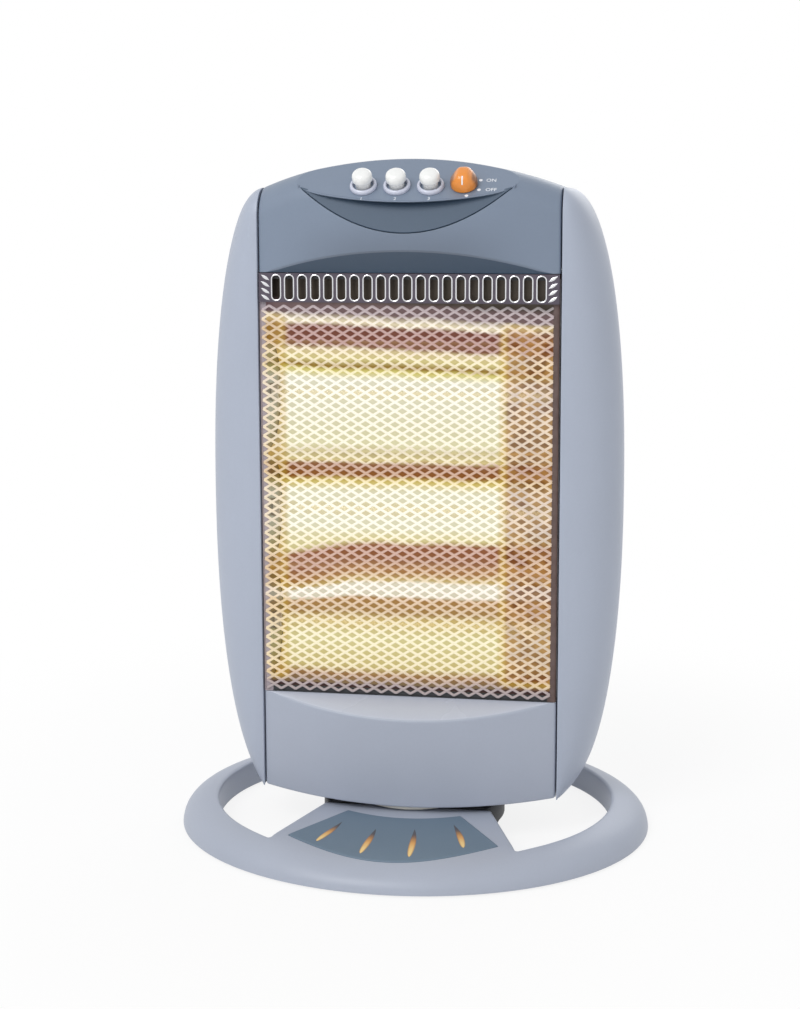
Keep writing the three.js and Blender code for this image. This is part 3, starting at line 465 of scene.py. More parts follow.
side_high = mm_box("right_side_panel")[1]
hood_low, hood_high = mm_box("top_hood")
SEAM_GAP = 0.4
SEAM_HALF = 105.0
SIDE_START = SEAM_HALF + SEAM_GAP
PANEL_HALF = SEAM_HALF - SEAM_GAP
WIDEST = side_high[0]
BODY_BOTTOM, BODY_TOP = 29.0, 457.0
BODY_MIDDLE = (BODY_BOTTOM + BODY_TOP) / 2
BODY_HALF = (BODY_TOP - BODY_BOTTOM) / 2
OUTLINE_POWER = 2.25
SEAM_Y = -27.0
SIDE_PROUD = 1.2
SIDE_FRONT_Y = SEAM_Y - SIDE_PROUD
SIDE_MIDDLE_Y = 13.0
SIDE_FLAT = 12.0
BACK_Y = side_high[1]
REAR_CORNER = 35.0
FRONT_ROUND, REAR_ROUND = 20.0, 22.0
BULGE = 20.0
LIP_Y = SEAM_Y - BULGE
CREST = hood_high[2]
BULGE_RADIUS = (SEAM_HALF ** 2 + BULGE ** 2) / (2 * BULGE)
CREST_RISE = CREST - BODY_TOP
CREST_RADIUS = (SEAM_HALF ** 2 + CREST_RISE ** 2) / (2 * CREST_RISE)


def front_y(x):
    return LIP_Y + BULGE_RADIUS - math.sqrt(BULGE_RADIUS ** 2 - x ** 2)


def top_z(x):
    return CREST - CREST_RADIUS + math.sqrt(CREST_RADIUS ** 2 - x ** 2)


def round_inset(z, top, radius):
    rise = min(radius, max(0.0, z - (top - radius)))
    return radius - math.sqrt(radius ** 2 - rise ** 2)


print("body", round(2 * WIDEST), "wide,", round(CREST), "high")

# %% [markdown]
# ## Side panels
# Each side panel is a moulded half shell that swells outwards and tapers to a point at top and
# bottom. Its front edge stands a little proud of the middle panels, with a soft radius that
# catches the light along the seam. Every row is one level section of it.


# %% Side panels
EDGE_RADIUS = 2.6
SIDE_BOTTOM = 30.2
SHELL_WALL = 1.2


def side_section(z, swell):
    half = SIDE_START + (WIDEST - SIDE_START) * swell
    front = SIDE_FRONT_Y + round_inset(z, BODY_TOP, FRONT_ROUND)
    back = BACK_Y - round_inset(z, BODY_TOP, REAR_ROUND)
    line = [(SIDE_START, front + 9.0), (SIDE_START, front)]
    for t in np.linspace(0.04, math.pi / 2, 34):
        line.append((
            SIDE_START + (half - SIDE_START) * math.sin(t),
            SIDE_MIDDLE_Y - (SIDE_MIDDLE_Y - front) * math.cos(t),
        ))
    corner = min(REAR_CORNER, half - SIDE_START)
    flat_end = min(SIDE_MIDDLE_Y + SIDE_FLAT, back - 4)
    for t in np.linspace(0, math.pi / 2, 20):
        line.append((half - corner + corner * math.cos(t), flat_end + (back - flat_end) * math.sin(t)))
    line += [(SIDE_START, back), (SIDE_START, back - 9.0)]
    line = soften(line, [(1, EDGE_RADIUS), (len(line) - 2, EDGE_RADIUS)], 5)
    return [(x, y, z) for x, y in line]


def side_grid(sign):
    rows = []
    for angle in np.linspace(-math.pi / 2, math.pi / 2, 110):
        share = abs(math.sin(angle)) ** (2 / OUTLINE_POWER)
        swell = max(0.0, 1 - share ** OUTLINE_POWER) ** (1 / OUTLINE_POWER)
        height = max(BODY_MIDDLE + math.copysign(share, angle) * BODY_HALF, SIDE_BOTTOM)
        rows.append(side_section(height, swell))
    return np.array(rows) * np.array([sign, 1, 1])


for side, sign in (("right", 1), ("left", -1)):
    name = f"{side}_side_panel"
    panel = grid_object(f"{side}_side_shell", side_grid(sign), SHELL_WALL)
    finish_piece(panel, "heater", "shell", SHELL, name)
    print(name, len(panel.data.polygons), "faces")

# %% [markdown]
# ## The hood
# The hood runs from the visor over the window, up its bowed front, back over a sloping control
# deck to the crest and down behind. Under the deck's front edge lies a hollow crescent. Every
# column is one side-on section: the raw rounded section is cut by the deck's sloping line, and
# the crescent steps into it. Columns keep the same count of points, so that they join.

# %% Hood
DECK_TILT = math.radians(40)
DECK_LIP_Z = CREST - 29.5
CRESCENT_HALF = 75.0
CRESCENT_CORNER_Z = CREST - 18
CRESCENT_BOTTOM_Z = CREST - 50.5
CRESCENT_DEPTH = 7.0
INSERT_THICKNESS = 1.4
WINDOW_TOP = hood_low[2]
WINDOW_DEPTH_Y = -29.0
VISOR_SLOPE = 16 / 18
VISOR, FACE, RECESS, DECK, BACK = range(5)


def deck_z(y):
    return DECK_LIP_Z + math.tan(DECK_TILT) * (y - LIP_Y)


def crescent_bottom(x):
    return CRESCENT_CORNER_Z - (CRESCENT_CORNER_Z - CRESCENT_BOTTOM_Z) * (1 - (x / CRESCENT_HALF) ** 2)


def crescent_y(z):
    return LIP_Y + (z - CRESCENT_BOTTOM_Z) * CRESCENT_DEPTH / (DECK_LIP_Z - CRESCENT_BOTTOM_Z)


def raw_hood(x, inset, low):
    front, top, back = front_y(x) + inset, top_z(x) - inset, BACK_Y - inset
    turn = np.linspace(0, math.pi / 2, 300)
    line = [(front, z) for z in np.linspace(low, top - FRONT_ROUND, 300)]
    line += [(front + FRONT_ROUND * (1 - math.cos(t)), top - FRONT_ROUND * (1 - math.sin(t))) for t in turn]
    line += [(y, top) for y in np.linspace(front + FRONT_ROUND, back - REAR_ROUND, 100)]
    line += [(back - REAR_ROUND * (1 - math.sin(t)), top - REAR_ROUND * (1 - math.cos(t))) for t in turn]
    line.append((back, WINDOW_TOP))
    return np.array(line)


def crossing(line, over, index):
    """Where a line passes the deck's plane, just before the point at index."""
    before, after = over[index - 1], over[index]
    if before * after >= 0:
        return line[index]
    return line[index - 1] + (line[index] - line[index - 1]) * before / (before - after)


def hood_column(x, inset):
    front = front_y(x) + inset
    low = max(WINDOW_TOP, WINDOW_TOP + VISOR_SLOPE * (WINDOW_DEPTH_Y - front))
    raw = raw_hood(x, inset, low)
    over = raw[:, 1] - deck_z(raw[:, 0])
    above = np.flatnonzero(over > 0)
    first, last = (above[0], above[-1] + 1) if len(above) else (int(np.argmax(over)),) * 2
    last = min(last, len(raw) - 1)
    lip, crest = crossing(raw, over, first), crossing(raw, over, last)
    face_end = lip
    step = [lip, lip, lip]
    if abs(x) < CRESCENT_HALF:
        bottom = min(crescent_bottom(x), lip[1])
        face_end = np.array([np.interp(bottom, raw[:first + 1, 1], raw[:first + 1, 0]), bottom])
        sunk = INSERT_THICKNESS + 0.4
        step = [
            np.array([crescent_y(bottom) + sunk, bottom]),
            np.array([max(crescent_y(lip[1]) + sunk, lip[0]), lip[1] - 0.6]),
            lip,
        ]
    before = raw[:first + 1][raw[:first + 1, 1] < face_end[1]]
    face = resample(np.vstack([before, face_end]), 40)
    deck = resample([lip, crest], 20)
    back = resample(np.vstack([crest, raw[last + 1:]]), 60)
    inner_y = max(WINDOW_DEPTH_Y, front)
    parts = [
        (VISOR, [(inner_y + 6, WINDOW_TOP), (inner_y, WINDOW_TOP)]),
        (FACE, face),
        (RECESS, step[:2]),
        (DECK, deck),
        (BACK, back[1:]),
    ]
    points, kinds = [], []
    for kind, part in parts:
        points += [np.asarray(p, float) for p in part]
        kinds += [kind] * len(part)
    starts = {kind: kinds.index(kind) for kind in range(5)}
    corners = [
        (starts[FACE], 1.8), (starts[RECESS] - 1, 0.6), (starts[DECK], 1.2), (starts[BACK] - 1, 2.2),
    ]
    return points, kinds, corners


def edge_columns(half, radius, inner, count):
    """Columns across a panel, with rounded edges that turn in at both ends: (x, inset)."""
    turn = np.linspace(0, math.pi / 2, 6)
    right = [(half - radius + radius * math.sin(t), radius * (1 - math.cos(t))) for t in turn[1:]]
    right.append((half, inner))
    middle = [(x, 0.0) for x in np.linspace(radius - half, half - radius, count)]
    return [(-x, inset) for x, inset in reversed(right)] + middle + right


def hood_grid():
    rows = []
    for x, inset in edge_columns(PANEL_HALF, 1.6, 6.0, 151):
        points, kinds, corners = hood_column(x, inset)
        line = soften(points, corners, 4)
        rows.append([(x, y, z) for y, z in line])
    spread = []
    for i, kind in enumerate(kinds):
        spread += [kind] * (5 if i in dict(corners) else 1)
    return np.array(rows), spread


hood_points, hood_kinds = hood_grid()
# The visor's underside and the crescent's recess take the dark slate plastic, as a painted shade under the
# deck's lip.
dark = [1 if kind in (VISOR, RECESS) else 0 for kind in hood_kinds]
hood = grid_object("hood_shell", hood_points, SHELL_WALL, kinds=dark)
finish_piece(hood, "heater", "hood", [HOOD, ACCENT], "top_hood")
print("hood", len(hood.data.polygons), "faces")

# %% [markdown]
# ## The crescent
# A dark insert fills the hollow under the control deck. It is a thin lens that leans with the
# hollow, so each of its sections is a small closed loop, and the loops shrink to points at the
# lens's two tips.

# %% Crescent insert
INSERT_GAP = 0.5


def crescent_top(x):
    return CRESCENT_CORNER_Z - (CRESCENT_CORNER_Z - DECK_LIP_Z) * (1 - (x / CRESCENT_HALF) ** 2)


def crescent_loop(x):
    low, high = crescent_bottom(x) + INSERT_GAP, crescent_top(x) - INSERT_GAP
    if high - low < 0.05:
        low = high = (low + high) / 2
    edge = min(0.5, (high - low) / 3)
    thick = INSERT_THICKNESS * min(1.0, (high - low) / 2)
    front = resample([(crescent_y(low + edge), low + edge), (crescent_y(high - edge), high - edge)], 10)
    loop = [(crescent_y(low) + thick, low), (crescent_y(low) + thick / 3, low)]
    loop += [tuple(p) for p in front]
    loop += [(crescent_y(high) + thick / 3, high), (crescent_y(high) + thick, high)]
    return [(x, y, z) for y, z in loop]


rows = [crescent_loop(x) for x in np.linspace(-CRESCENT_HALF * 0.96, CRESCENT_HALF * 0.96, 90)]
crescent = grid_object("crescent_lens", np.array(rows), closed=True)
finish_piece(crescent, "heater", "accent", ACCENT, "crescent_insert")
print("crescent", len(crescent.data.polygons), "faces")

# %% [markdown]
# ## Lower front panel
# Below the window the body closes with a bowed panel. Its top is a sloping ledge that leads in
# under the guard, and its rounded edges catch a line of light, made stronger by a paler painted
# highlight on the ledge.

# %% Lower panel
WINDOW_BOTTOM = 99.8
LEDGE_SLOPE = 11.8 / 18
SKIRT_BOTTOM = 25.0


def lower_column(x, inset):
    front = front_y(x) + inset
    skirt = SKIRT_BOTTOM + 5 * (x / SEAM_HALF) ** 2 + inset
    shoulder = WINDOW_BOTTOM - LEDGE_SLOPE * max(0.0, WINDOW_DEPTH_Y - front) - inset * 0.5
    inner = max(WINDOW_DEPTH_Y, front)
    points = [(front + 7, skirt), (front + 3, skirt)]
    points += [tuple(p) for p in resample([(front, skirt), (front, shoulder)], 24)]
    points += [(inner, WINDOW_BOTTOM), (inner + 6, WINDOW_BOTTOM)]
    line = soften(points, [(2, 2.2), (26, 2.6)], 5)
    return [(x, y, z) for y, z in line]


rows = [lower_column(x, inset) for x, inset in edge_columns(PANEL_HALF, 1.6, 6.0, 121)]
columns = len(rows[0])
# The last faces of each column, on the ledge, take the paler plastic as a painted highlight.
ledge_kinds = [1 if k >= columns - 5 else 0 for k in range(columns)]
lower = grid_object("lower_shell", np.array(rows), SHELL_WALL, kinds=ledge_kinds)
finish_piece(lower, "heater", "shell", [LOWER, LEDGE_PAINTED_HIGHLIGHT], "lower_front_panel")
print("lower panel", len(lower.data.polygons), "faces")

# %% [markdown]
# ## The base from its plan
# The base is an oval ring with two bridges to the hub. Its top is one crowned surface and only
# its plan is complicated, so it is drawn flat: an outline, a hole, and points scattered between
# them, which Blender joins into triangles. Then every point is lifted by one height rule, which
# also rolls the edge of the hole over.

# %% Base rule
BASE_HALF = np.array([169.8, 143.85])
BASE_HEIGHT = 21.0
RIM_SHARE = 0.2
VOID_HALF = np.array([143.0, 126.0])
HUB_HOLE = 66.4
HUB_FLAT = -32.4
REAR_BRIDGE_HALF = 36.0
HOLE_ROUND = 2.4
FAN_OUTER, FAN_OUTER_MIDDLE = np.array([72.0, -99.0]), -127.0
FAN_INNER, FAN_INNER_MIDDLE = np.array([40.0, -48.0]), -58.0
FAN_DEPTH = 1.1


def base_height(x, y):
    share = np.hypot(x / BASE_HALF[0], y / BASE_HALF[1])
    out = np.clip((share - 1 + RIM_SHARE) / RIM_SHARE, 0, 1)
    dip = np.clip((-92.0 - y) / 44.0, 0, 1)
    return (BASE_HEIGHT - 5 * dip ** 2) * (1 - out ** 2.4) ** (1 / 2.4)


def apron_half(y):
    return 58.0 + 0.3434 * (-27.0 - y)


def to_line(points, loop):
    """Distance of each point to a closed loop in plan."""
    best = np.full(len(points), 1e9)
    for a, b in zip(loop, np.roll(loop, -1, axis=0)):
        along = b - a
        t = np.clip(((points - a) @ along) / max(along @ along, 1e-12), 0, 1)
        best = np.minimum(best, np.linalg.norm(points - a - t[:, None] * along, axis=1))
    return best


def inside(points, loop):
    odd = np.zeros(len(points), bool)
    for a, b in zip(loop, np.roll(loop, -1, axis=0)):
        span = (a[1] > points[:, 1]) != (b[1] > points[:, 1])
        slope = (b[0] - a[0]) / (b[1] - a[1] if abs(b[1] - a[1]) > 1e-12 else 1e-12)
        odd ^= span & (points[:, 0] < a[0] + slope * (points[:, 1] - a[1]))
    return odd


print("base is", 2 * BASE_HALF, "mm over all")

# %% [markdown]
# ## The base's outlines
# Seen from above, the ring is an oval with two openings, which leave a bridge to the hub in front
# and behind. The openings could be cut with a Boolean, but as loops of points they can also be
# moved in or out by a distance, which is how their edges are rounded later.

# %% Base outline and hole


def hole_loop():
    """The right half from the front to the back, then its mirror image."""
    angles = np.linspace(-math.pi / 2, math.pi / 2, 4001)
    oval = np.stack([VOID_HALF[0] * np.cos(angles), VOID_HALF[1] * np.sin(angles)], 1)
    open_side = (oval[:, 0] > apron_half(oval[:, 1])) | (oval[:, 1] > -20)
    open_side &= (oval[:, 0] > REAR_BRIDGE_HALF) | (oval[:, 1] < 20)
    oval = resample(oval[open_side], 90)
    hub = np.linspace(-math.pi / 2, math.pi / 2, 4001)
    hub = HUB_HOLE * np.stack([np.cos(hub), np.sin(hub)], 1)
    bridge_y = math.sqrt(HUB_HOLE ** 2 - REAR_BRIDGE_HALF ** 2)
    meets = hub[(hub[:, 0] <= apron_half(hub[:, 1])) & (hub[:, 1] > HUB_FLAT) & (hub[:, 1] < 0)]
    front = [(0, HUB_FLAT)] + [tuple(p) for p in resample([(10, HUB_FLAT), meets[0]], 5)]
    front += [tuple(p) for p in resample(meets, 4)[1:]]
    side = resample([meets[-1], oval[0]], 14)
    bridge = resample([oval[-1], (REAR_BRIDGE_HALF, bridge_y)], 10)
    behind = hub[(hub[:, 1] > bridge_y)]
    behind = resample(behind, 12)
    rounded = [tuple(p) for p in side[1:]] + [tuple(p) for p in oval[1:]]
    rounded += [tuple(p) for p in bridge[1:]] + [tuple(p) for p in behind[1:]]
    corners = [(len(side) - 2, 7.0), (len(side) + len(oval) - 3, 7.0)]
    rounded = [tuple(p) for p in soften(rounded, corners, 6)]
    right = [p for p in front + rounded if p[0] > 1e-6 or p[1] < 0]
    left = [(-x, y) for x, y in reversed(right) if x > 1e-6]
    top = [(0.0, HUB_HOLE)]
    return np.array(right + top + left)


def fan_loop(grow=0.0):
    u = np.linspace(-1, 1, 41)
    outer_x, inner_x = FAN_OUTER[0] + grow, FAN_INNER[0] + grow
    outer_y = FAN_OUTER_MIDDLE - grow + (FAN_OUTER[1] - FAN_OUTER_MIDDLE) * u ** 2
    inner_y = FAN_INNER_MIDDLE + grow + (FAN_INNER[1] - FAN_INNER_MIDDLE) * u ** 2
    outer = np.stack([outer_x * u, outer_y], 1)
    inner = np.stack([inner_x * u, inner_y], 1)[::-1]
    right = resample([outer[-1], inner[0]], 24)[1:-1]
    left = resample([inner[-1], outer[0]], 24)[1:-1]
    loop = list(outer) + list(right) + list(inner) + list(left)
    corners = [(0, 4.0), (40, 4.0), (63 + 1, 3.0), (63 + 41, 3.0)]
    return np.array(soften(loop, corners, 4))


hole = hole_loop()
fan = fan_loop(0.35)
print("hole", len(hole), "points, dark plate", len(fan), "points")

# %% [markdown]
# ## From a plan to a surface
# A moulded cover is a plan whose every point has a height. Loops near each edge keep the rounding
# smooth, evenly spread points fill the rest, and a Delaunay triangulation joins them. It leaves
# no long thin faces, which a filled polygon would.

# %% Plan to surface


def offset_loop(loop, distance):
    """A loop moved sideways, outwards for a loop that runs counter-clockwise."""
    along = np.roll(loop, -1, axis=0) - np.roll(loop, 1, axis=0)
    along /= np.linalg.norm(along, axis=1)[:, None]
    return loop + distance * np.stack([along[:, 1], -along[:, 0]], 1)


def plan_mesh(loops, scattered, height, outline, holes=()):
    """Triangles over a plan, with every loop kept as edges."""
    points, edges = [], []
    for loop in loops:
        start = len(points)
        points += [tuple(p) for p in loop]
        edges += [(start + i, start + (i + 1) % len(loop)) for i in range(len(loop))]
    points += [tuple(p) for p in scattered]
    plan, _, faces = delaunay_2d_cdt([Vector(p) for p in points], edges, [], 0, 1e-6)[:3]
    flat = np.array([tuple(p) for p in plan])
    faces = np.array([f for f in faces if len(f) == 3])
    middles = flat[faces].mean(1)
    keep = inside(middles, outline)
    for opening in holes:
        keep &= ~inside(middles, opening)
    lifted = np.column_stack([flat, height(flat)])
    mesh = bpy.data.meshes.new("plan")
    mesh.from_pydata((lifted * MM).tolist(), [], faces[keep].tolist())
    return mesh


def spaced(step, low, high):
    """A triangular field of points."""
    rows = []
    for i, y in enumerate(np.arange(low[1], high[1], step * 0.866)):
        xs = np.arange(low[0] + (i % 2) * step / 2, high[0], step)
        rows.append(np.stack([xs, np.full(len(xs), y)], 1))
    return np.concatenate(rows)


def drop_walls(thing, floor):
    """Carries the open edges straight down to a level."""
    work = bmesh.new()
    work.from_mesh(thing.data)
    rim = [e for e in work.edges if e.is_boundary]
    made = bmesh.ops.extrude_edge_only(work, edges=rim)["geom"]
    for vert in [g for g in made if isinstance(g, bmesh.types.BMVert)]:
        vert.co.z = floor * MM
    work.to_mesh(thing.data)
    work.free()


print("plan helpers ready")

# %% [markdown]
# ## The base cover
# The cover is one moulding: ring and bridges with a crowned top and a rounded edge. The plan is
# raised by the base's height rule, and a skirt goes down from each loop to the floor side.

# %% Base cover


def cover_height(points):
    z = base_height(points[:, 0], points[:, 1])
    near = np.clip(1 - to_line(points, hole) / HOLE_ROUND, 0, 1)
    z = z - HOLE_ROUND * (1 - np.sqrt(1 - near ** 2))
    depth = np.clip(to_line(points, fan) / 0.3, 0, 1) * inside(points, fan)
    return np.maximum(z - depth * FAN_DEPTH, 2.2)


turn = np.linspace(0, 2 * math.pi, 240, endpoint=False)
circle = np.stack([np.cos(turn), np.sin(turn)], 1)
shares = 1 - RIM_SHARE + RIM_SHARE * np.sin(np.linspace(0.05, math.pi / 2, 16)) ** 1.4
rim_loops = [circle * BASE_HALF * share for share in shares]
hole_loops = [offset_loop(hole, d) for d in (0.0, 0.25, 0.7, 1.4, 2.4, 4.0)]
fan_loops = [fan, fan_loop(0.05)]
field = spaced(3.2, -BASE_HALF, BASE_HALF)
share = np.hypot(*(field / BASE_HALF).T)
clear = to_line(field, hole) > 5.2
field = field[(share < 0.79) & clear & ~inside(field, hole) & (to_line(field, fan) > 1.5)]
plan = plan_mesh(rim_loops + hole_loops + fan_loops, field, cover_height, rim_loops[-1], [hole])
cover = tidy(new_object("base_shell", plan))
drop_walls(cover, 1.4)
tidy(cover, SHELL_WALL, 50.0)
finish_piece(cover, "base", "shell", BASE, "base_cover")
print("base cover", len(cover.data.polygons), "faces")

# %% [markdown]
# ## The dark plate and its marks
# A slate plate is let into the front bridge. It follows the crown, stands half a millimetre
# proud and has a rolled edge. Four plain teardrop marks in warm colours are printed on it, as
# thin raised ink, fanned out like small flames.

# %% Dark plate
PLATE_PROUD = 0.5
plate_loop = fan_loop()


def plate_height(points):
    near = np.clip(1 - to_line(points, plate_loop) / 0.9, 0, 1)
    return base_height(points[:, 0], points[:, 1]) + PLATE_PROUD - 0.9 * (1 - np.sqrt(1 - near ** 2))


field = spaced(3.0, np.array([-72.0, -128.0]), np.array([72.0, -47.0]))
field = field[inside(field, plate_loop) & (to_line(field, plate_loop) > 2.2)]
rings = [offset_loop(plate_loop, -d) for d in (0.0, 0.12, 0.4, 0.9, 1.7)]
plate = tidy(new_object("dark_plate", plan_mesh(rings, field, plate_height, plate_loop)), 1.0, 50.0)
finish_piece(plate, "base", "accent", INSET, "base_inset")
print("dark plate", len(plate.data.polygons), "faces")

# %% [markdown]
# ## Printed marks on the dark plate
# Four warm teardrops are printed on the plate. A picture could carry them, but here each is a thin
# skin that follows the plate's crown, and a UV map along its length shades it from pale to dark.

# %% Teardrop marks
MARK_PLACES = [
    (-45.5, -89.5, -15.0, 37.0), (-16.5, -101.0, -4.0, 39.0),
    (13.2, -100.0, 5.0, 43.0), (43.0, -86.0, 18.0, 41.0),
]
MARK_WIDTH = 4.2


def teardrop_rows(x, y, lean, length):
    rows = []
    turn = math.radians(lean)
    for t in np.linspace(0, 1, 25):
        half = MARK_WIDTH * 1.3 * math.sqrt(max(t, 0) * 1.0) * (1 - t) ** 0.9
        sway = 1.4 * math.sin(2.4 * t)
        row = []
        for v in np.linspace(-1, 1, 7):
            across, along = sway + half * v, (t - 0.5) * length
            px = x + across * math.cos(turn) - along * math.sin(turn)
            py = y + across * math.sin(turn) + along * math.cos(turn)
            pz = base_height(np.array(px), np.array(py)) + PLATE_PROUD + 0.06 + 0.1 * (1 - v * v)
            row.append((px, py, float(pz)))
        rows.append(row)
    return np.array(rows)


def with_lengthwise_uv(grid, name):
    """A grid as a mesh whose UV map runs along the rows and across the columns."""
    thing = grid_plain(name, grid)
    count, across = grid.shape[:2]
    layer = thing.data.uv_layers.new(name="along")
    for loop in thing.data.loops:
        i, j = divmod(loop.vertex_index, across)
        layer.data[loop.index].uv = (i / (count - 1), j / (across - 1))
    return thing


def grid_plain(name, grid):
    rows, columns = grid.shape[:2]
    faces = [
        (i * columns + j, i * columns + j + 1, (i + 1) * columns + j + 1, (i + 1) * columns + j)
        for i in range(rows - 1) for j in range(columns - 1)
    ]
    mesh = bpy.data.meshes.new(name)
    mesh.from_pydata((grid.reshape(-1, 3) * MM).tolist(), [], faces)
    return new_object(name, mesh)


def flame_ink():
    ink = Finish("warm printed ink", roughness=0.45)
    uv = ink.node("ShaderNodeTexCoord").out("UV")
    split = ink.node("ShaderNodeSeparateXYZ", None, {0: uv})
    grain = ink.noise(400.0, 2.0)
    heat = split.out("X") + grain * 0.08
    edge = (split.out("Y") - 0.5).size().between(0.22, 0.5)
    body = ink.mix(heat.between(0.15, 0.6), srgb("efcf8c"), srgb("d99a4e"))
    body = ink.mix(edge * 0.7, body, srgb("a8714a"))
    ink.set("Base Color", ink.mix(heat.between(0.42, 0.85), body, srgb("4c4a50")))
    ink.bump(grain, 0.00002)
    return ink.material


marks = []
for k, place in enumerate(MARK_PLACES):
    marks.append(with_lengthwise_uv(teardrop_rows(*place), f"mark_{k}"))
with bpy.context.temp_override(active_object=marks[0], selected_editable_objects=marks):
    bpy.ops.object.join()
marks[0].name = "printed_marks"
finish_piece(marks[0], "base", "orange", flame_ink())
print("marks", len(marks[0].data.polygons), "faces")

# %% [markdown]
# ## Hub
# Between the bridges lies the round hub that the body turns on. Its black plastic is a painted
# shade for the shadow under the body. It is turned from one profile, then planed flat where the
# front bridge meets it.

# %% Hub
HUB_PROFILE = [
    (22.4, 5.6), (64.0, 5.6), (65.9, 7.5), (65.9, 19.6), (65.3, 21.2), (63.6, 21.9),
    (54.0, 21.9), (53.0, 21.2), (52.0, 21.2), (51.0, 21.9), (22.4, 21.9), (22.4, 5.6),
]
hub = turned_object("hub", HUB_PROFILE, 96)
flat = np.array([v.co[:] for v in hub.data.vertices])
flat[:, 1] = np.maximum(flat[:, 1], -32.0 * MM)
hub.data.vertices.foreach_set("co", flat.ravel())
# Black here is painted shade: the hub lies in the body's shadow.
finish_piece(hub, "base", "black", BLACK, "hub_housing")
print("hub", len(hub.data.polygons), "faces")

# %% [markdown]
# ## Geometry Nodes from Python
# The guard repeats one small shape hundreds of times, which is what Geometry Nodes are for. The
# same tree class serves here too. A group gets named inputs for its sizes, and ends by making
# its instances real and giving them their material. The result is kept as a plain mesh.


# %% Geometry tree helpers
class GeometryTree(Tree):
    """A Geometry Nodes group with a named input for each size."""

    def __init__(self, name, **sizes):
        group = bpy.data.node_groups.new(name, "GeometryNodeTree")
        super().__init__(group)
        group.interface.new_socket("Geometry", in_out="OUTPUT", socket_type="NodeSocketGeometry")
        self.keys = {}
        for key, value in sizes.items():
            kind = "NodeSocketInt" if isinstance(value, int) else "NodeSocketFloat"
            socket = group.interface.new_socket(key, in_out="INPUT", socket_type=kind)
            socket.default_value = value
            self.keys[key] = socket.identifier
        self.start = group.nodes.new("NodeGroupInput")
        self.end = group.nodes.new("NodeGroupOutput")

    def size(self, name):
        return Value(self, self.start.outputs[name])

    def vector(self, x=0.0, y=0.0, z=0.0):
        return self.node("ShaderNodeCombineXYZ", None, {0: x, 1: y, 2: z})

    def join(self, *parts):
        node = self.tree.nodes.new("GeometryNodeJoinGeometry")
        for part in parts:
            self.tree.links.new(part.socket, node.inputs[0])
        return Value(self, node.outputs[0])

    def end_with(self, geometry, material):
        real = self.node("GeometryNodeRealizeInstances", None, {0: geometry})
        dressed = self.node("GeometryNodeSetMaterial", None, {"Geometry": real, "Material": material})
        self.put(self.end.inputs[0], dressed)
        return self


def grow(tree, name, **sizes):
    """Runs a tree with its sizes and keeps the result as a mesh."""
    thing = new_object(name, bpy.data.meshes.new(name))
    modifier = thing.modifiers.new("nodes", "NODES")
    for key, value in sizes.items():
        if key not in tree.keys:
            raise KeyError(key)
    modifier.node_group = tree.tree
    for key, value in sizes.items():
        modifier[tree.keys[key]] = value
    bake(thing)
    kinds = np.zeros(len(thing.data.polygons), np.int32)
    if "kind" in thing.data.attributes:
        thing.data.attributes["kind"].data.foreach_get("value", kinds)
        thing.data.attributes.remove(thing.data.attributes["kind"])
    thing.data.materials.clear()
    thing.data.polygons.foreach_set("material_index", kinds)
    return thing


print("geometry tree helpers ready")

# %% [markdown]
# ## The painted glow
# The lamps are lit. The pale yellow bands with brown gaps that the polished troughs throw back, and
# the same light on the guard's wires, are painted as emitted colour. One colour scale over height
# gives both: the troughs a little darker, the wires mixed with a painted white highlight. The bands
# waver, so the height is first moved by a slow noise.

# %% Glow by height
PAINTED_GLOW_BANDS = [
    (99.8, "2a2024"), (108, "4a3436"), (115, "9c7044"), (121, "dccb86"), (142, "ebe2a4"),
    (154, "dcc884"), (161, "ac8448"), (171, "b98a50"), (173, "f2ead0"), (182, "f4eed8"),
    (184, "d2b672"), (190, "b07c40"), (198, "925430"), (209, "98583a"), (213, "eade9e"),
    (222, "f6f3d2"), (247, "f6f3d2"), (254, "e8d272"), (258, "94561c"), (266, "884820"),
    (269, "e6d696"), (275, "c4b480"), (280, "f0ebbe"), (324, "f7f5dc"), (330, "eade7c"),
    (333, "96700f"), (338, "eadc96"), (344, "e6d2a0"), (347, "783828"), (360, "703024"),
    (363, "fff2cc"), (369, "6c565c"),
]
GLOW_LOW, GLOW_SPAN = 99.8, 279.0
RIGHT_ZONE, LEFT_ZONE = 66.0, 86.0


EYE_HEIGHT, EYE_SIDE, EYE_FAR = 0.4455, 0.1816, 1.13


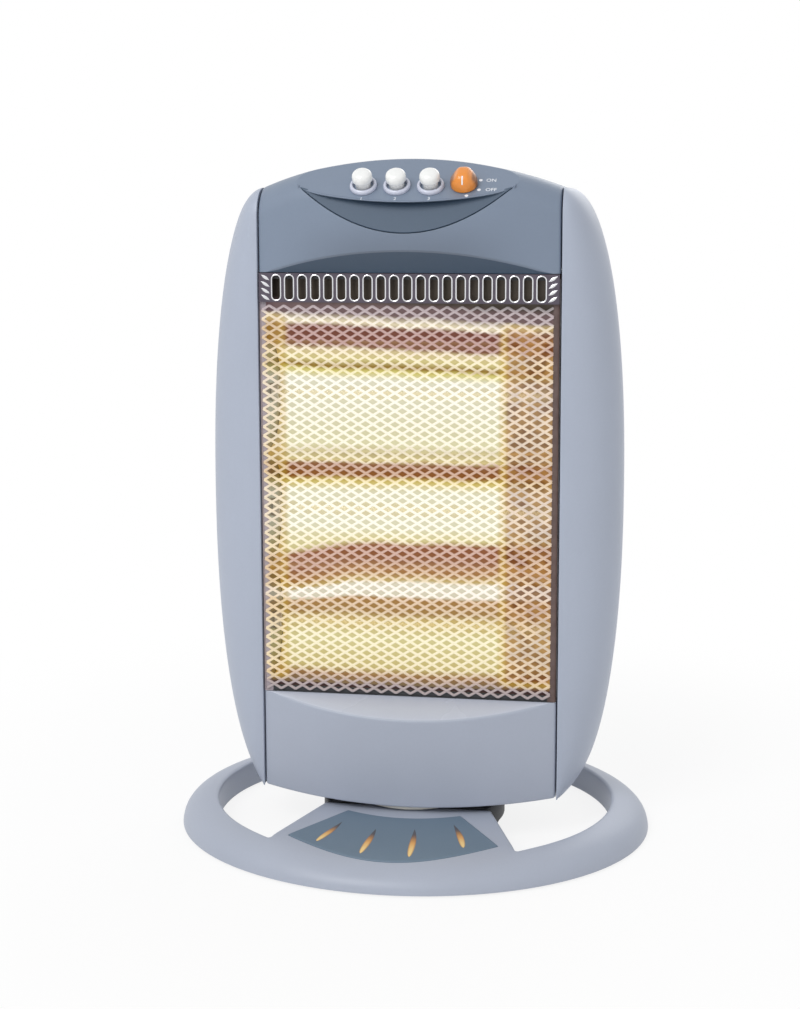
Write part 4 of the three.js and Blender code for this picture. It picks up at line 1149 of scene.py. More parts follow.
def glow(finish, warm_share):
    """The painted glow's colour at a point, spread backwards from the guard along the usual line of sight.
    """
    waver = finish.noise(30.0, 1.0) * 0.005 - 0.0025
    behind = (finish.y + 0.0285) / EYE_FAR
    height = finish.z + behind * (EYE_HEIGHT - finish.z) + waver
    height = height + finish.x * 0.04 * height.between(0.28, 0.36)
    arch = height.between(0.16, 0.185) * (1 - height.between(0.2, 0.222))
    height = height + (finish.x * -1.0).between(0.03, 0.1) * arch * 0.01
    place = (height - GLOW_LOW * MM) / (GLOW_SPAN * MM)
    stops = [((z - GLOW_LOW) / GLOW_SPAN, srgb(code)) for z, code in PAINTED_GLOW_BANDS]
    bands = finish.node("ShaderNodeValToRGB", {"stops": stops}, {0: place})
    across = finish.x + behind * (EYE_SIDE - finish.x)
    blotch = finish.noise(70.0, 2.0)
    # Painted warm light at the window's two sides.
    warm = finish.mix(blotch.between(0.35, 0.65), srgb("74380f"), srgb("c08c4c"))
    right = across.between((RIGHT_ZONE - 4) * MM, (RIGHT_ZONE + 5) * MM)
    left = (across * -1.0).between((LEFT_ZONE - 3) * MM, (LEFT_ZONE + 7) * MM)
    inside_window = height.between(0.108, 0.116) * (1 - height.between(0.362, 0.369))
    side = (right + left * 0.8) * inside_window
    lit = finish.mix(side * warm_share, bands, warm)
    lit = finish.mix(side * (1 - side) * 1.4, lit, srgb("e8c440"))
    return finish.mix(height.between(0.373, 0.379), lit, (0.002, 0.0015, 0.002, 1))


def trough_finish():
    # The trough's emission is painted light: the lamps' glow thrown back by the polished sheet.
    finish = Finish("glowing polished trough", roughness=0.3, metallic=0.6, emission_strength=0.72)
    streaks = finish.noise(90.0, 2.0)
    finish.set("Base Color", finish.mix(streaks, (0.06, 0.05, 0.04, 1), (0.10, 0.08, 0.06, 1)))
    finish.set("Emission Color", glow(finish, 0.85))
    return finish.material


def guard_finish(name, code, level, share):
    finish = Finish(name, roughness=0.5, metallic=0.1, emission_strength=level)
    speck = finish.noise(900.0, 2.0)
    own = finish.mix(speck, shade(srgb(code), 0.35), shade(srgb(code), 0.5))
    finish.set("Base Color", own)
    # The wires' emission is painted light: the glow behind them, mixed with a painted white highlight.
    paler_painted_glow = finish.node("ShaderNodeGamma", None, {"Color": glow(finish, 0.74), "Gamma": 0.68})
    finish.set("Emission Color", finish.mix(share, paler_painted_glow, srgb("fff0dc")))
    finish.bump(speck, 0.00002)
    return finish.material


TROUGH = trough_finish()
WIRE = guard_finish("lit guard wire", "e6dfe2", 0.74, 0.06)
print("glow bands:", len(PAINTED_GLOW_BANDS))

# %% [markdown]
# ## Guard mesh
# The guard is expanded metal: a sheet slit in rows and pulled open. What is left are zigzag
# strands, each the mirror image of the one below, which touch where the diamonds meet. So one
# strand is bent from a line of points, swept, and stacked.


# %% Guard mesh tree
def strand_tree(material):
    tree = GeometryTree("stacked strands", **{
        "Cell width": 0.0104, "Cell height": 0.0063, "Bends": 40, "Strands": 86,
        "Strand width": 0.0017, "Strand thickness": 0.0009, "Bend radius": 0.0009, "Lean": 0.6,
    })
    width, height = tree.size("Cell width"), tree.size("Cell height")
    bends = tree.size("Bends")
    begin = tree.vector(bends * width * -0.25 + width * 0.25)
    line = tree.node("GeometryNodeMeshLine", {"mode": "OFFSET"}, {
        "Count": bends, "Start Location": begin, "Offset": tree.vector(width * 0.5),
    })
    odd = tree.node("ShaderNodeMath", {"operation": "MODULO"}, {
        0: tree.node("GeometryNodeInputIndex"), 1: 2.0,
    })
    bent = tree.node("GeometryNodeSetPosition", None, {
        "Geometry": line, "Offset": tree.vector(0.0, 0.0, (odd - 0.5) * height * 0.5),
    })
    curve = tree.node("GeometryNodeMeshToCurve", None, {0: bent})
    curve = tree.node("GeometryNodeFilletCurve", None, {
        "Curve": curve, "Radius": tree.size("Bend radius"),
    })
    curve = tree.node("GeometryNodeSetCurveNormal", None, {0: curve})
    curve = tree.node("GeometryNodeSetCurveTilt", None, {"Curve": curve, "Tilt": tree.size("Lean")})
    section = tree.node("GeometryNodeCurvePrimitiveQuadrilateral", None, {
        "Width": tree.size("Strand width"), "Height": tree.size("Strand thickness"),
    })
    strand = tree.node("GeometryNodeCurveToMesh", None, {
        "Curve": curve, "Profile Curve": section, "Fill Caps": True,
    })
    column = tree.node("GeometryNodeMeshLine", {"mode": "OFFSET"}, {
        "Count": tree.size("Strands"), "Offset": tree.vector(0.0, 0.0, height * 0.5),
    })
    flip = tree.node("ShaderNodeMath", {"operation": "MODULO"}, {
        0: tree.node("GeometryNodeInputIndex"), 1: 2.0,
    })
    stacked = tree.node("GeometryNodeInstanceOnPoints", None, {
        "Points": column, "Instance": strand, "Rotation": tree.vector(flip * math.pi),
    })
    return tree.end_with(stacked, material)


def moved(thing, x=0.0, y=0.0, z=0.0):
    thing.data.transform(Matrix.Translation(Vector((x, y, z)) * MM))
    return thing


STRAND_STEP = 3.15
mesh_low = mm_box("guard_mesh")[0]
MESH_TOP = 378.4
strands = int((MESH_TOP + 1.0 - mesh_low[2] - 2) / STRAND_STEP)
guard = grow(strand_tree(WIRE), "guard_mesh_strands", **{"Strands": strands})
moved(guard, -1.3, -27.6, mesh_low[2] + 1.8)
tidy(guard, 0.0, 50.0)
finish_piece(guard, "heater", "guard", WIRE, "guard_mesh")
print("guard:", strands, "strands,", len(guard.data.polygons), "faces")

# %% [markdown]
# ## Guard frame
# The mesh is held by a pressed frame. Across its top runs a row of vent slots, each with a bright
# raised rim. A flat plate with holes is easiest as curves: the outline and the slots are
# filled together, and what lies inside another curve becomes a hole.


# %% Perforated plate tree
def plate_tree(name, material):
    tree = GeometryTree(name, **{
        "Width": 0.2, "Height": 0.3, "Thickness": 0.001, "Columns": 21, "Rows": 1,
        "Column pitch": 0.0092, "Row pitch": 0.02, "Slot width": 0.0056, "Slot height": 0.018,
        "Slot centre": 0.14, "Slot round": 0.0027, "Rim radius": 0.0004,
    })
    box = "GeometryNodeCurvePrimitiveQuadrilateral"
    outline = tree.node(box, None, {"Width": tree.size("Width"), "Height": tree.size("Height")})
    slot = tree.node(box, None, {"Width": tree.size("Slot width"), "Height": tree.size("Slot height")})
    slot = tree.node("GeometryNodeFilletCurve", {"mode": "POLY"}, {
        "Curve": slot, "Count": 5, "Radius": tree.size("Slot round"), "Limit Radius": True,
    })
    columns, rows = tree.size("Columns"), tree.size("Rows")
    field = tree.node("GeometryNodeMeshGrid", None, {
        "Size X": (columns - 1) * tree.size("Column pitch"),
        "Size Y": (rows - 1) * tree.size("Row pitch"),
        "Vertices X": columns, "Vertices Y": rows,
    })
    points = tree.node("GeometryNodeTransform", None, {
        "Geometry": field, "Translation": tree.vector(0.0, tree.size("Slot centre")),
    })
    slots = tree.node("GeometryNodeInstanceOnPoints", None, {"Points": points, "Instance": slot})
    slots = tree.node("GeometryNodeRealizeInstances", None, {0: slots})
    flat = tree.node("GeometryNodeFillCurve", None, {"Curve": tree.join(outline, slots)})
    raised = tree.node("GeometryNodeExtrudeMesh", None, {
        "Mesh": flat, "Offset Scale": tree.size("Thickness"), "Individual": False,
    })
    under = tree.node("GeometryNodeFlipFaces", None, {"Mesh": flat})
    solid = tree.node("GeometryNodeMergeByDistance", None, {
        "Geometry": tree.join(raised, under), "Distance": 0.00001,
    })
    wire = tree.node("GeometryNodeCurvePrimitiveCircle", None, {
        "Resolution": 8, "Radius": tree.size("Rim radius"),
    })
    rims = tree.node("GeometryNodeCurveToMesh", None, {"Curve": slots, "Profile Curve": wire})
    rims = tree.node("GeometryNodeTransform", None, {
        "Geometry": rims, "Translation": tree.vector(0.0, 0.0, tree.size("Thickness")),
    })
    rims = tree.node("GeometryNodeStoreNamedAttribute", {"data_type": "INT", "domain": "FACE"}, {
        "Geometry": rims, "Name": "kind", "Value": 2,
    })
    return tree.end_with(tree.join(solid, rims), material)


def to_upright(thing, y):
    """Stands a plate drawn in plan upright, its top towards the front at depth y."""
    thing.data.transform(Matrix.Rotation(math.pi / 2, 4, "X"))
    return moved(thing, 0, y)


print("plate tree ready")

# %% [markdown]
# ## The frame's pieces
# The real frame is one pressing: a slotted strip above, a border with a lip round the mesh, and
# small folds in the strip's corners. Strip, border and folds are made apart, because each follows
# a rule of its own, and are then joined to one piece with three finishes.

# %% Guard frame
frame_low, frame_high = mm_box("guard_frame")
FRAME_HALF = frame_high[0]
VENT_STRIP = frame_high[2] - MESH_TOP
BORDER, FOLD_Y = 4.2, -29.05
strip_middle = (MESH_TOP + frame_high[2]) / 2
plate = grow(plate_tree("slotted strip", FRAME_METAL), "guard_frame_plate", **{
    "Width": 2 * FRAME_HALF * MM, "Height": VENT_STRIP * MM, "Thickness": 0.0009,
    "Slot centre": 0.0, "Slot height": 0.0176, "Slot width": 0.0064, "Slot round": 0.003,
    "Rim radius": 0.00055,
})
to_upright(plate, -28.2)
moved(plate, 0, 0, strip_middle)
skirt = []
for inset, y in ((0, -28.1), (0, -22.0), (0.9, -22.0), (0.9, -26.2), (BORDER, -26.2), (BORDER, -26.9),
                 (0.9, -26.9), (0, -28.1)):
    x, low, high = FRAME_HALF - inset, frame_low[2] + inset, frame_high[2] - inset
    skirt.append([(-x, y, low), (x, y, low), (x, y, high), (-x, y, high)])
skirt = grid_object("guard_frame_skirt", np.array(skirt), closed=True)
for thing in (plate, skirt):
    for finish in (FRAME_METAL, BORDER_METAL, PLATED):
        thing.data.materials.append(finish)
for face in skirt.data.polygons:
    face.material_index = 1


def fold(x, z, lean, length):
    """A small pressed fold on the frame's corner, as a low ridge."""
    rows = []
    for t in np.linspace(0, 1, 9):
        half = 1.1 * math.sin(math.pi * min(1, max(0, t * 0.9 + 0.05)))
        cx, cz = x + math.cos(lean) * (t - 0.5) * length, z + math.sin(lean) * (t - 0.5) * length
        row = []
        for v in np.linspace(-1, 1, 5):
            depth = FOLD_Y - 0.5 * (1 - v * v)
            row.append((cx - math.sin(lean) * half * v, depth, cz + math.cos(lean) * half * v))
        rows.append(row)
    ridge = grid_object("fold", np.array(rows))
    for finish in (PLATED, BORDER_METAL, PLATED):
        ridge.data.materials.append(finish)
    for face in ridge.data.polygons:
        face.material_index = 2
    return ridge


folds = []
for side in (-1, 1):
    for k in range(4):
        folds.append(fold(side * 99.7, MESH_TOP + 3.2 + k * 4.6, side * math.radians(32), 7.0))
parts = [plate, skirt] + folds
with bpy.context.temp_override(active_object=plate, selected_editable_objects=parts):
    bpy.ops.object.join()
tidy(plate, 0.0, 40.0)
finish_piece(plate, "heater", "guard", [FRAME_METAL, BORDER_METAL, PLATED], "guard_frame")
print("frame:", len(plate.data.polygons), "faces")

# %% [markdown]
# ## Reflector and lamps
# Behind the guard a polished sheet is rolled into three troughs, one round each quartz tube. The
# coil inside a tube is a spiral curve with a thickness, and glows nearly white.

# %% Reflector
LAMP_HEIGHTS = [312.0, 228.0, 144.0]
LAMP_Y = 4.0
RIDGE_Y = -18.0
TROUGH_HALF, TROUGH_DEPTH = 39.5, 44.0
reflector_half = mm_box("reflector")[1][0]
section = [(RIDGE_Y, 397.0), (RIDGE_Y, 375.0)]
for height in LAMP_HEIGHTS:
    for t in np.linspace(math.pi / 2, -math.pi / 2, 41):
        y = RIDGE_Y + TROUGH_DEPTH * max(0.0, math.cos(t)) ** 0.8
        section.append((y, height + TROUGH_HALF * math.sin(t)))
section.append((RIDGE_Y, 101.0))
rows = [[(x, y, z) for y, z in section] for x in np.linspace(-reflector_half, reflector_half, 30)]
sheet = grid_plain("reflector_sheet", np.array(rows))
solid = sheet.modifiers.new("wall", "SOLIDIFY")
solid.thickness, solid.offset, solid.material_offset = 0.6 * MM, -1.0, 1
sheet.data.materials.append(TROUGH)
sheet.data.materials.append(STEEL)
if sheet.data.polygons[0].normal.y > 0:
    sheet.data.flip_normals()
bake(sheet)
sheet.data.shade_smooth()
sheet.data.set_sharp_from_angle(angle=math.radians(40))
finish_piece(sheet, "heater", "reflector", [TROUGH, STEEL], "reflector")
print("reflector", len(sheet.data.polygons), "faces")


# %% [markdown]
# ## Quartz tubes and their coils
# Each tube is clear quartz round a coil that glows nearly white. The tube is a turned profile, and
# the coil a spiral curve with a thickness. Real glass would need many light bounces through the
# mesh, so the tube is a partly clear surface that carries the glow itself.

# %% Quartz tubes
def quartz():
    glass = Finish("lit quartz glass", roughness=0.08, emission_strength=0.5)
    shimmer = glass.noise(60.0, 2.0)
    glass.set("Base Color", glass.mix(shimmer, srgb("8c8260"), srgb("a89c78")))
    glass.set("Emission Color", glow(glass, 0.75))
    glass.set("Alpha", 0.5 + shimmer * 0.15)
    return glass.material


def coil_tree(material):
    tree = GeometryTree("lamp coil", **{
        "Turns": 70.0, "Length": 0.19, "Coil radius": 0.0013, "Wire radius": 0.00035,
    })
    spiral = tree.node("GeometryNodeCurveSpiral", None, {
        "Resolution": 9, "Rotations": tree.size("Turns"), "Start Radius": tree.size("Coil radius"),
        "End Radius": tree.size("Coil radius"), "Height": tree.size("Length"),
    })
    wire = tree.node("GeometryNodeCurvePrimitiveCircle", None, {
        "Resolution": 5, "Radius": tree.size("Wire radius"),
    })
    coil = tree.node("GeometryNodeCurveToMesh", None, {
        "Curve": spiral, "Profile Curve": wire, "Fill Caps": True,
    })
    coil = tree.node("GeometryNodeTransform", None, {
        "Geometry": coil, "Rotation": (0.0, math.pi / 2, 0.0),
    })
    return tree.end_with(coil, material)


def coil_finish():
    wire = Finish("white hot wire", roughness=0.5, emission_strength=1.0)
    heat = wire.noise(120.0, 2.0)
    wire.set("Base Color", wire.mix(heat, srgb("b08040"), srgb("d8b070")))
    wire.set("Emission Color", wire.mix(heat, srgb("ffe9a0"), srgb("fffdf0")))
    return wire.material


TUBE_HALF = 97.6
TUBE_PROFILE = [(4.0, -TUBE_HALF), (5.0, -TUBE_HALF + 0.5), (5.0, -60.0), (5.0, 0.0), (5.0, 60.0),
                (5.0, TUBE_HALF - 0.5), (4.0, TUBE_HALF), (4.0, 0.0), (4.0, -TUBE_HALF)]
QUARTZ, COIL = quartz(), coil_finish()
coils = coil_tree(COIL)
for number, height in enumerate(LAMP_HEIGHTS, 1):
    tube = turned_object(f"glass_tube_{number}", TUBE_PROFILE, 40, (0, LAMP_Y, height), "X")
    finish_piece(tube, "heater", "quartz", QUARTZ, f"quartz_tube_{number}")
    coil = moved(grow(coils, f"lamp_coil_{number}"), -95.0, LAMP_Y, height)
    coil.data.shade_smooth()
    finish_piece(coil, "heater", "filament", COIL, f"filament_{number}")
print("tubes:", len(LAMP_HEIGHTS), "coil faces", len(coil.data.polygons))

# %% [markdown]
# ## Lamp caps
# A ceramic cap closes each end of a tube, with a groove where the end plate grips it. Round parts
# are quickest as a profile turned about its axis, and one profile serves all six.

# %% Lamp caps
CAP_PROFILE = [
    (5.15, 0.0), (5.9, 0.0), (6.4, 0.5), (6.4, 5.0), (5.8, 5.5), (5.8, 6.6), (6.4, 7.1),
    (6.4, 16.0), (5.4, 17.8), (1.6, 17.8), (1.6, 14.0), (5.15, 14.0), (5.15, 0.0),
]
for number, height in enumerate(LAMP_HEIGHTS, 1):
    for side, sign in (("left", -1), ("right", 1)):
        profile = [(r, sign * (98.1 + along)) for r, along in CAP_PROFILE]
        cap = turned_object(f"ceramic_{side}_{number}", profile, 40, (0, LAMP_Y, height), "X")
        finish_piece(cap, "heater", "ceramic", CERAMIC, f"lamp_cap_{side}_{number}")
print("lamp caps made")

# %% [markdown]
# ## The control deck
# Three white push buttons sit in lilac collars, and an orange knob turns beside them. All are
# square to the sloping deck, so they are made lying flat in the deck's own frame, in which the
# last coordinate stands up from the deck, and are then tilted into place together.

# %% Deck frame
DECK_COS, DECK_SIN = math.cos(DECK_TILT), math.sin(DECK_TILT)
BUTTON_PLACES = [(-29.0, 16.0), (-6.0, 16.0), (17.0, 16.0)]
KNOB_PLACE = (39.5, 18.0)


def onto_deck(thing, x=0.0, up=0.0):
    """Tilts a flat-made piece on to the deck and slides it to its place there."""
    turn = Matrix.Rotation(DECK_TILT, 4, "X")
    place = Vector((x, LIP_Y + up * DECK_COS, DECK_LIP_Z + up * DECK_SIN)) * MM
    thing.data.transform(Matrix.Translation(place) @ turn)
    return thing


print("deck tilt", round(math.degrees(DECK_TILT)), "degrees")

# %% [markdown]
# ## The push buttons
# Each button is a ball-like head on a stem, in a rounded collar. Both are turned profiles: spheres
# would be quicker, but a profile gives the neck under the head and the collar's rolled edge.

# %% Push buttons
CAP_PROFILE_HEAD = [
    (0.0, -2.6), (5.2, -2.6), (5.2, 5.0), (5.6, 5.5), (6.4, 5.8), (6.85, 6.4), (7.0, 7.4), (7.0, 8.8),
    (6.8, 10.0), (6.3, 11.1), (5.5, 11.9), (4.4, 12.5), (3.0, 12.8), (1.5, 12.95), (0.0, 13.0),
]
COLLAR_PROFILE = [
    (7.15, -1.0), (8.2, -1.0), (8.2, 0.05), (9.2, 0.1), (9.35, 0.5), (9.3, 1.5), (8.95, 2.4), (8.4, 2.85),
    (7.8, 3.0), (7.35, 2.8), (7.15, 2.3), (7.15, -1.0),
]
for number, (x, up) in enumerate(BUTTON_PLACES, 1):
    side = ("left", "middle", "right")[number - 1]
    cap = onto_deck(turned_object(f"button_{number}", CAP_PROFILE_HEAD, 48), x, up)
    finish_piece(tidy(cap), f"button_{side}", "cap", CAP, f"button_cap_{number}")
    ring = onto_deck(turned_object(f"collar_{number}", COLLAR_PROFILE, 48), x, up)
    finish_piece(tidy(ring), "heater", "collar", COLLAR, f"button_collar_{number}")
print("button faces", len(cap.data.polygons))

# %% [markdown]
# ## The knob
# The knob is round with a grip ridge across it and a scoop on each side for the fingers. That is
# one height rule over a disc: a rounded base, a ridge that rises along the middle, and its ends
# drawn down to the rim.

# %% Knob
KNOB_RADIUS, KNOB_LEVEL, KNOB_TOP = 9.3, 7.0, 11.7
GRIP_HALF = 5.3


def knob_height(x, y):
    r = min(1.0, math.hypot(x, y) / KNOB_RADIUS)
    rolled = (1 - r ** 5) ** (1 / 3)
    ridge = 1 / (1 + (abs(x) / GRIP_HALF) ** 5)
    ends = (1 - min(1.0, abs(y) / (KNOB_RADIUS * 0.985)) ** 2.6) ** 0.6
    base = 1.2 + (KNOB_LEVEL - 1.2) * rolled
    return base + (KNOB_TOP - KNOB_LEVEL) * ridge * ends


def knob_plastic():
    """Orange, with a painted brown shade in the two finger scoops, in the knob's own tilted frame."""
    finish = Finish("orange knob plastic", roughness=0.32, coat_weight=0.4)
    x, up = KNOB_PLACE
    centre = Vector((x, LIP_Y + up * DECK_COS, DECK_LIP_Z + up * DECK_SIN)) * MM
    own = finish.node("ShaderNodeMapping", {"vector_type": "TEXTURE"}, {
        "Vector": finish.place, "Location": centre, "Rotation": (DECK_TILT, 0.0, 0.0),
    })
    split = finish.node("ShaderNodeSeparateXYZ", None, {0: own})
    # Painted shade in the two finger scoops.
    painted_scoop_shade = split.out("X").size().between(0.0052, 0.0068)
    painted_scoop_shade = painted_scoop_shade * (1 - split.out("Y").size().between(0.0025, 0.0065))
    drifting = finish.noise(DRIFT_SCALE, 3.0)
    tone = finish.mix(drifting, srgb("e0862a"), srgb("ee9434"))
    finish.set("Base Color", finish.mix(painted_scoop_shade * 0.85, tone, srgb("6e4424")))
    return finish.material


def knob_rows():
    shares = np.r_[0.0, np.linspace(0.04, 0.93, 30), 0.95, 0.965, 0.98, 0.99, 0.997, 1.0]
    angles = np.linspace(0, 2 * math.pi, 144, endpoint=False)
    rows = []
    for share in shares:
        r = share * KNOB_RADIUS
        row = []
        for a in angles:
            x, y = r * math.cos(a), r * math.sin(a)
            row.append((x, y, knob_height(x, y)))
        rows.append(row)
    for radius, level in ((9.3, 0.7), (9.0, 0.45), (4.0, 0.45), (4.0, -1.0), (0.0, -1.0)):
        rows.append([(radius * math.cos(a), radius * math.sin(a), level) for a in angles])
    return np.array(rows)


knob = grid_object("knob_turned", knob_rows(), closed=True)
pointer = []
for y in np.linspace(-8.6, -4.6, 9):
    pointer.append([(x, y, knob_height(x, y) + 0.12) for x in np.linspace(-0.45, 0.45, 5)])
pointer = tidy(grid_plain("knob_pointer", np.array(pointer)), 0.1)
KNOB_PLASTIC = knob_plastic()
for piece in (knob, pointer):
    onto_deck(piece, *KNOB_PLACE)
finish_piece(knob, "knob", "orange", KNOB_PLASTIC, "knob")
finish_piece(pointer, "knob", "collar", MARK)
tidy(knob, 0.0, 50.0)
print("knob", len(knob.data.polygons), "faces")

# %% [markdown]
# ## Printed marks
# White ink marks the knob's stops with dots, and says ON and OFF in plain letters. Each button
# has its number. Ink is a thin skin, so the dots and letters stand a twentieth of a millimetre
# above the deck.

# %% Dots and letters
DOT_RADIUS, DOT_REACH = 1.25, 11.8
DOT_ANGLES = (23.0, -27.0, -77.0)
INK_HEIGHT = 0.06


def letters(text, size, x, up):
    curve = bpy.data.curves.new(f"text_{text}", "FONT")
    curve.body, curve.size = text, size * MM
    curve.align_x, curve.align_y = "CENTER", "CENTER"
    curve.extrude = 0.03 * MM
    thing = bpy.data.objects.new(f"letters_{text}", curve)
    bpy.context.scene.collection.objects.link(thing)
    bpy.context.view_layer.update()
    mesh = bpy.data.meshes.new_from_object(thing.evaluated_get(bpy.context.evaluated_depsgraph_get()))
    bpy.data.objects.remove(thing)
    mesh.transform(Matrix.Translation((0, 0, INK_HEIGHT * MM)))
    return onto_deck(new_object(f"ink_{text}", mesh), x, up)


def dot(x, up):
    profile = [(0.0, 0.0), (DOT_RADIUS, 0.0), (DOT_RADIUS, 0.05), (DOT_RADIUS - 0.15, 0.1), (0.0, 0.12)]
    return onto_deck(turned_object("ink_dot", profile, 28), x, up)


ink = []
for angle in DOT_ANGLES:
    t = math.radians(angle)
    ink.append(dot(KNOB_PLACE[0] + DOT_REACH * math.cos(t), KNOB_PLACE[1] + DOT_REACH * math.sin(t)))
ink += [letters("ON", 4.4, 57.6, 22.4), letters("OFF", 4.4, 58.2, 12.6)]
for number, (x, up) in enumerate(BUTTON_PLACES, 1):
    ink.append(letters(str(number), 4.0, x, up - 12.6))
with bpy.context.temp_override(active_object=ink[0], selected_editable_objects=ink):
    bpy.ops.object.join()
ink[0].name = "deck_ink"
finish_piece(ink[0], "heater", "collar", MARK)
print("ink", len(ink[0].data.polygons), "faces")

# %% [markdown]
# ## The back
# A coated steel sheet closes the back. Two columns of louvres let the warm air out: each is a
# slot with a low pressed awning over it, so that nothing can fall in. The same perforated plate
# tree makes the sheet, and a second tree sets the awnings on a grid.


# %% Louvre tree
def awning_tree(material):
    tree = GeometryTree("pressed awnings", **{
        "Columns": 2, "Rows": 14, "Column pitch": 0.094, "Row pitch": 0.021,
        "Width": 0.082, "Height": 0.0078, "Proud": 0.0013,
    })
    width, height = tree.size("Width"), tree.size("Height")
    patch = tree.node("GeometryNodeMeshGrid", None, {
        "Size X": width, "Size Y": height, "Vertices X": 33, "Vertices Y": 8,
    })
    place = tree.node("GeometryNodeInputPosition")
    split = tree.node("ShaderNodeSeparateXYZ", None, {0: place})
    u = (split.out("X") / width * 2.0).size()
    t = split.out("Y") / height + 0.5
    swell = tree.node("ShaderNodeMath", {"operation": "SINE"}, {0: t * (math.pi / 2)})
    lift = (1 - u ** 8) * swell * tree.size("Proud")
    pressed = tree.node("GeometryNodeSetPosition", None, {
        "Geometry": patch, "Offset": tree.vector(0.0, 0.0, lift),
    })
    columns, rows = tree.size("Columns"), tree.size("Rows")
    field = tree.node("GeometryNodeMeshGrid", None, {
        "Size X": (columns - 1) * tree.size("Column pitch"),
        "Size Y": (rows - 1) * tree.size("Row pitch"),
        "Vertices X": columns, "Vertices Y": rows,
    })
    set_out = tree.node("GeometryNodeInstanceOnPoints", None, {"Points": field, "Instance": pressed})
    return tree.end_with(set_out, material)


print("louvre tree ready")

# %% [markdown]
# ## The rear cover
# The sheet has a slot under each awning. The slots come from the perforated plate's tree, given
# the same spacing as the awnings' grid.

# %% Rear cover
rear_low, rear_high = mm_box("rear_cover")
REAR_MIDDLE = (rear_low[2] + rear_high[2]) / 2
LOUVRE_FIRST, LOUVRE_PITCH, LOUVRE_ROWS = 82.0, 21.0, 14
SHEET_Y = rear_low[1] + 0.1
louvre_middle = LOUVRE_FIRST + LOUVRE_PITCH * (LOUVRE_ROWS - 1) / 2
rear = grow(plate_tree("louvred sheet", REAR), "rear_sheet", **{
    "Width": (rear_high[0] - rear_low[0]) * MM, "Height": (rear_high[2] - rear_low[2]) * MM,
    "Thickness": 0.0011, "Columns": 2, "Rows": LOUVRE_ROWS, "Column pitch": 0.094,
    "Row pitch": LOUVRE_PITCH * MM, "Slot width": 0.078, "Slot height": 0.005, "Slot round": 0.0024,
    "Slot centre": (REAR_MIDDLE - louvre_middle) * MM, "Rim radius": 0.0002,
})
awnings = grow(awning_tree(REAR), "rear_awnings", **{"Rows": LOUVRE_ROWS})
tidy(awnings, 0.45)
awnings.data.transform(Matrix.Translation((0, (REAR_MIDDLE - louvre_middle - 1.4) * MM, 0.00105)))
for piece in (rear, awnings):
    piece.data.transform(Matrix.Rotation(-math.pi / 2, 4, "X"))
    moved(piece, 0, SHEET_Y, REAR_MIDDLE)
with bpy.context.temp_override(active_object=rear, selected_editable_objects=[rear, awnings]):
    bpy.ops.object.join()
tidy(rear, 0.0, 40.0)
finish_piece(rear, "heater", "rear", REAR, "rear_cover")
print("rear cover", len(rear.data.polygons), "faces")

# %% [markdown]
# ## Screws and gland
# Four pan-head screws hold the sheet, and a ribbed rubber bush lines the lead's hole. The cross
# recess is pressed into the head's height rule, which spares a Boolean for so small a form.

# %% Rear screws and gland
SCREW_PLACES = [(x, z) for x in (-97.0, 97.0) for z in (48.0, 386.0)]
SCREW_FACE = mm_box("rear_screw_upper_left")[1][1]


def screw_rows():
    """A pan head with a cross recess, looking along +Y."""
    angles = np.linspace(0, 2 * math.pi, 64, endpoint=False)
    rows = []
    for r in np.r_[0.0, np.linspace(0.15, 2.4, 16), 2.9, 3.3, 3.5, 3.55]:
        row = []
        for a in angles:
            x, z = r * math.cos(a), r * math.sin(a)
            arm = max(0.0, 1 - (min(abs(x), abs(z)) / 0.5) ** 4) * (max(abs(x), abs(z)) < 2.0)
            row.append((x, -0.1 - 1.4 * (r / 3.6) ** 3.2 - 0.9 * arm, z))
        rows.append(row)
    rows.append([(3.55 * math.cos(a), -2.0, 3.55 * math.sin(a)) for a in angles])
    rows.append([(0.0, -2.0, 0.0)] * 64)
    return np.array(rows)


screws = []
for x, z in SCREW_PLACES:
    screws.append(grid_object("screw", screw_rows() + np.array([x, SCREW_FACE, z]), closed=True))
with bpy.context.temp_override(active_object=screws[0], selected_editable_objects=screws):
    bpy.ops.object.join()
screws[0].name = "rear_screws"
names = [f"rear_screw_{level}_{side}" for level in ("lower", "upper") for side in ("left", "right")]
finish_piece(screws[0], "heater", "steel", STEEL, *names)
GLAND_PROFILE = [
    (4.6, 53.6), (6.9, 53.6), (6.9, 61.9), (9.8, 62.0), (9.9, 62.4), (9.8, 63.8), (9.2, 64.3), (7.4, 64.4),
    (7.2, 65.0), (6.7, 65.2), (6.7, 65.9), (7.1, 66.1), (7.1, 66.9), (6.6, 67.1), (6.6, 67.7), (6.8, 67.9),
    (6.7, 68.6), (6.1, 68.9), (5.0, 68.9), (4.6, 68.4), (4.6, 53.6),
]
gland = turned_object("lead_bush", GLAND_PROFILE, 48, (-60.0, 0.0, 52.0), "Y")
finish_piece(gland, "heater", "black", BLACK, "cord_gland")
print("screws", len(screws[0].data.polygons), "faces")

# %% [markdown]
# ## Parts that keep their solid shape
# Feet, spindle, brackets, switches and the drive already have their real shape in the solids. So
# they only get a finish: zinc-plated steel, nylon that slides, black moulded switch bodies.

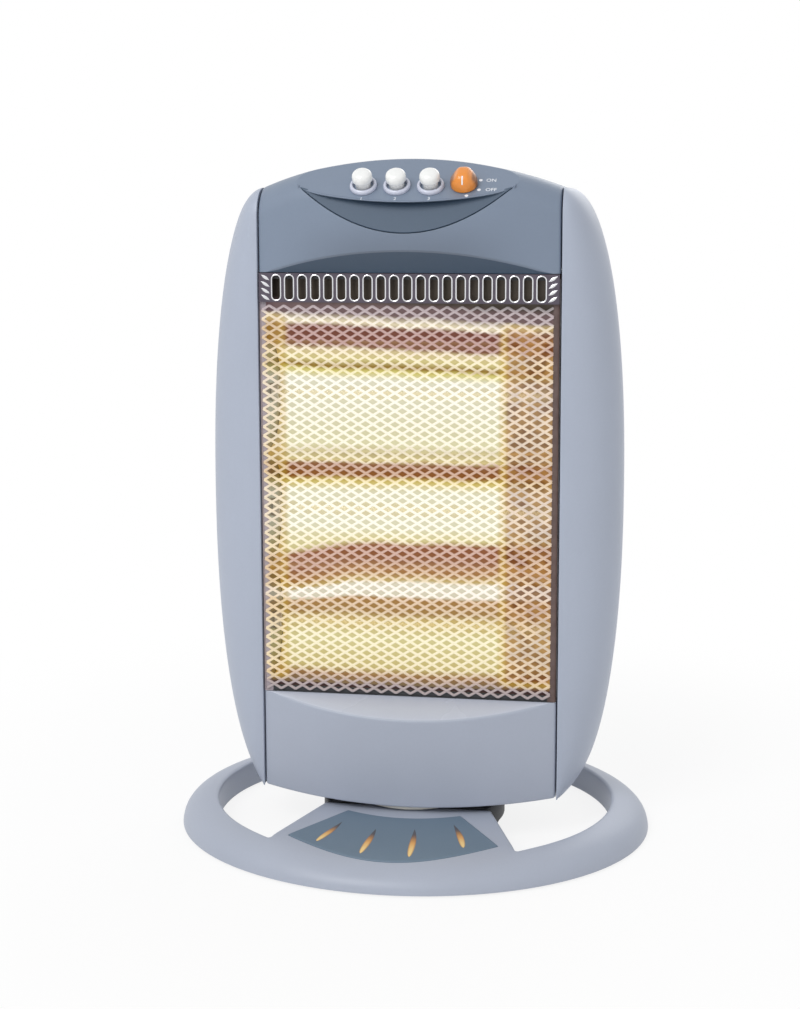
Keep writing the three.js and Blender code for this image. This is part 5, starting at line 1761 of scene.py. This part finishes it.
# %% Finishes for the solids
DRESSED = {
    "rubber": (RUBBER, ["foot_front_left", "foot_front_right", "foot_rear_left", "foot_rear_right"]),
    "steel": (STEEL, ["spindle", "spindle_nut", "drive_arm", "motor_bracket", "oscillation_motor",
                      "body_bottom_plate", "end_plate_right", "end_plate_left", "thermal_cutout"]),
    "nylon": (NYLON, ["turntable_ring", "crank", "terminal_block"]),
    "black": (BLACK, ["base_bottom_plate", "tip_switch_housing", "rotary_switch", "push_switch_1",
                      "push_switch_2", "push_switch_3"]),
    "orange": (ORANGE, ["tip_plunger"]),
}
for slot, (finish, names) in DRESSED.items():
    for name in names:
        for material_slot in nodes[name].material_slots:
            material_slot.material = finish
left_over = [n for n, thing in nodes.items() if not thing.hide_render]
print("solids still shown:", len(left_over))

# %% [markdown]
# ## Floor and light
# The photograph's background is plain white. So the world is white to the camera and to
# reflections, and only a plain grey light to everything else. The floor is white paper that
# mixes a little of its own white in, which keeps a soft shadow under the base.


# %% Floor
def make_floor():
    bpy.ops.mesh.primitive_circle_add(vertices=96, radius=6.0, fill_type="NGON", location=(0, 0, 0))
    floor = bpy.context.object
    floor.name = "floor"
    paper = Finish("white paper", roughness=0.9)
    far = ((paper.x ** 2 + paper.y ** 2) ** 0.5).between(0.2, 0.6)
    path = paper.node("ShaderNodeLightPath")
    seen = path.out("Is Camera Ray") + path.out("Is Glossy Ray") + path.out("Is Transmission Ray")
    tint = paper.noise(3.0)
    paper.set("Base Color", paper.mix(tint * 0.3, (0.93, 0.93, 0.93, 1), (0.9, 0.9, 0.91, 1)))
    glow = paper.node("ShaderNodeEmission", None, {"Color": (1, 1, 1, 1), "Strength": 1.0})
    share = seen.between(0.0, 1.0) * (0.84 + far * 0.16)
    both = paper.node("ShaderNodeMixShader", None, {0: share, 2: glow})
    paper.tree.links.new(paper.surface.outputs[0], both.socket.node.inputs[1])
    output = paper.tree.nodes["Material Output"]
    paper.tree.links.new(both.socket, output.inputs["Surface"])
    floor.data.materials.append(paper.material)
    floor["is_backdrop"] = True
    return floor


make_floor()
print("floor ready")

# %% [markdown]
# ## World and lamps
# A large soft key lamp stands in front on the left, a faint fill on the right and a rim lamp
# behind. More lamps would flatten the moulded forms, and a picture of a studio would tint them.

# %% World and lamps
AMBIENT = 0.62


def make_world():
    world = bpy.data.worlds.new("studio")
    world.use_nodes = True
    tree = Tree(world.node_tree)
    back = world.node_tree.nodes["Background"]
    path = tree.node("ShaderNodeLightPath")
    seen = path.out("Is Camera Ray") + path.out("Is Glossy Ray") + path.out("Is Transmission Ray")
    level = AMBIENT + seen.between(0.0, 1.0) * (1 - AMBIENT)
    tree.put(back.inputs["Color"], (1, 1, 1, 1))
    tree.put(back.inputs["Strength"], level)
    bpy.context.scene.world = world


def make_lamp(name, place, level, size):
    """A square soft box aimed at the heater's middle; level is what it adds to a facing surface."""
    place = Vector(place)
    aim = Vector((0, 0, 0.24)) - place
    data = bpy.data.lights.new(name, "AREA")
    data.size = size
    data.energy = level * math.pi ** 2 * aim.length_squared
    lamp = bpy.data.objects.new(name, data)
    lamp.location = place
    lamp.rotation_mode = "QUATERNION"
    lamp.rotation_quaternion = aim.to_track_quat("-Z", "Y")
    bpy.context.scene.collection.objects.link(lamp)


make_world()
make_lamp("key", (-0.9, -1.75, 2.0), 0.42, 1.2)
make_lamp("fill", (1.6, -1.5, 0.9), 0.03, 1.4)
make_lamp("rim", (0.6, 1.7, 1.3), 0.16, 1.2)
bpy.context.scene.view_settings.view_transform = "Standard"
print("lamps:", len(bpy.data.lights))

# %% [markdown]
# ## Last measurements
# Both boxes, of the solids and of the dressed heater, are printed at the end.

# %% Finish
sheet = {
    "cad": [list(corner) for corner in cad_box],
    "visual": [list(corner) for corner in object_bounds()],
}
print({key: [[round(v / MM, 1) for v in corner] for corner in box] for key, box in sheet.items()})
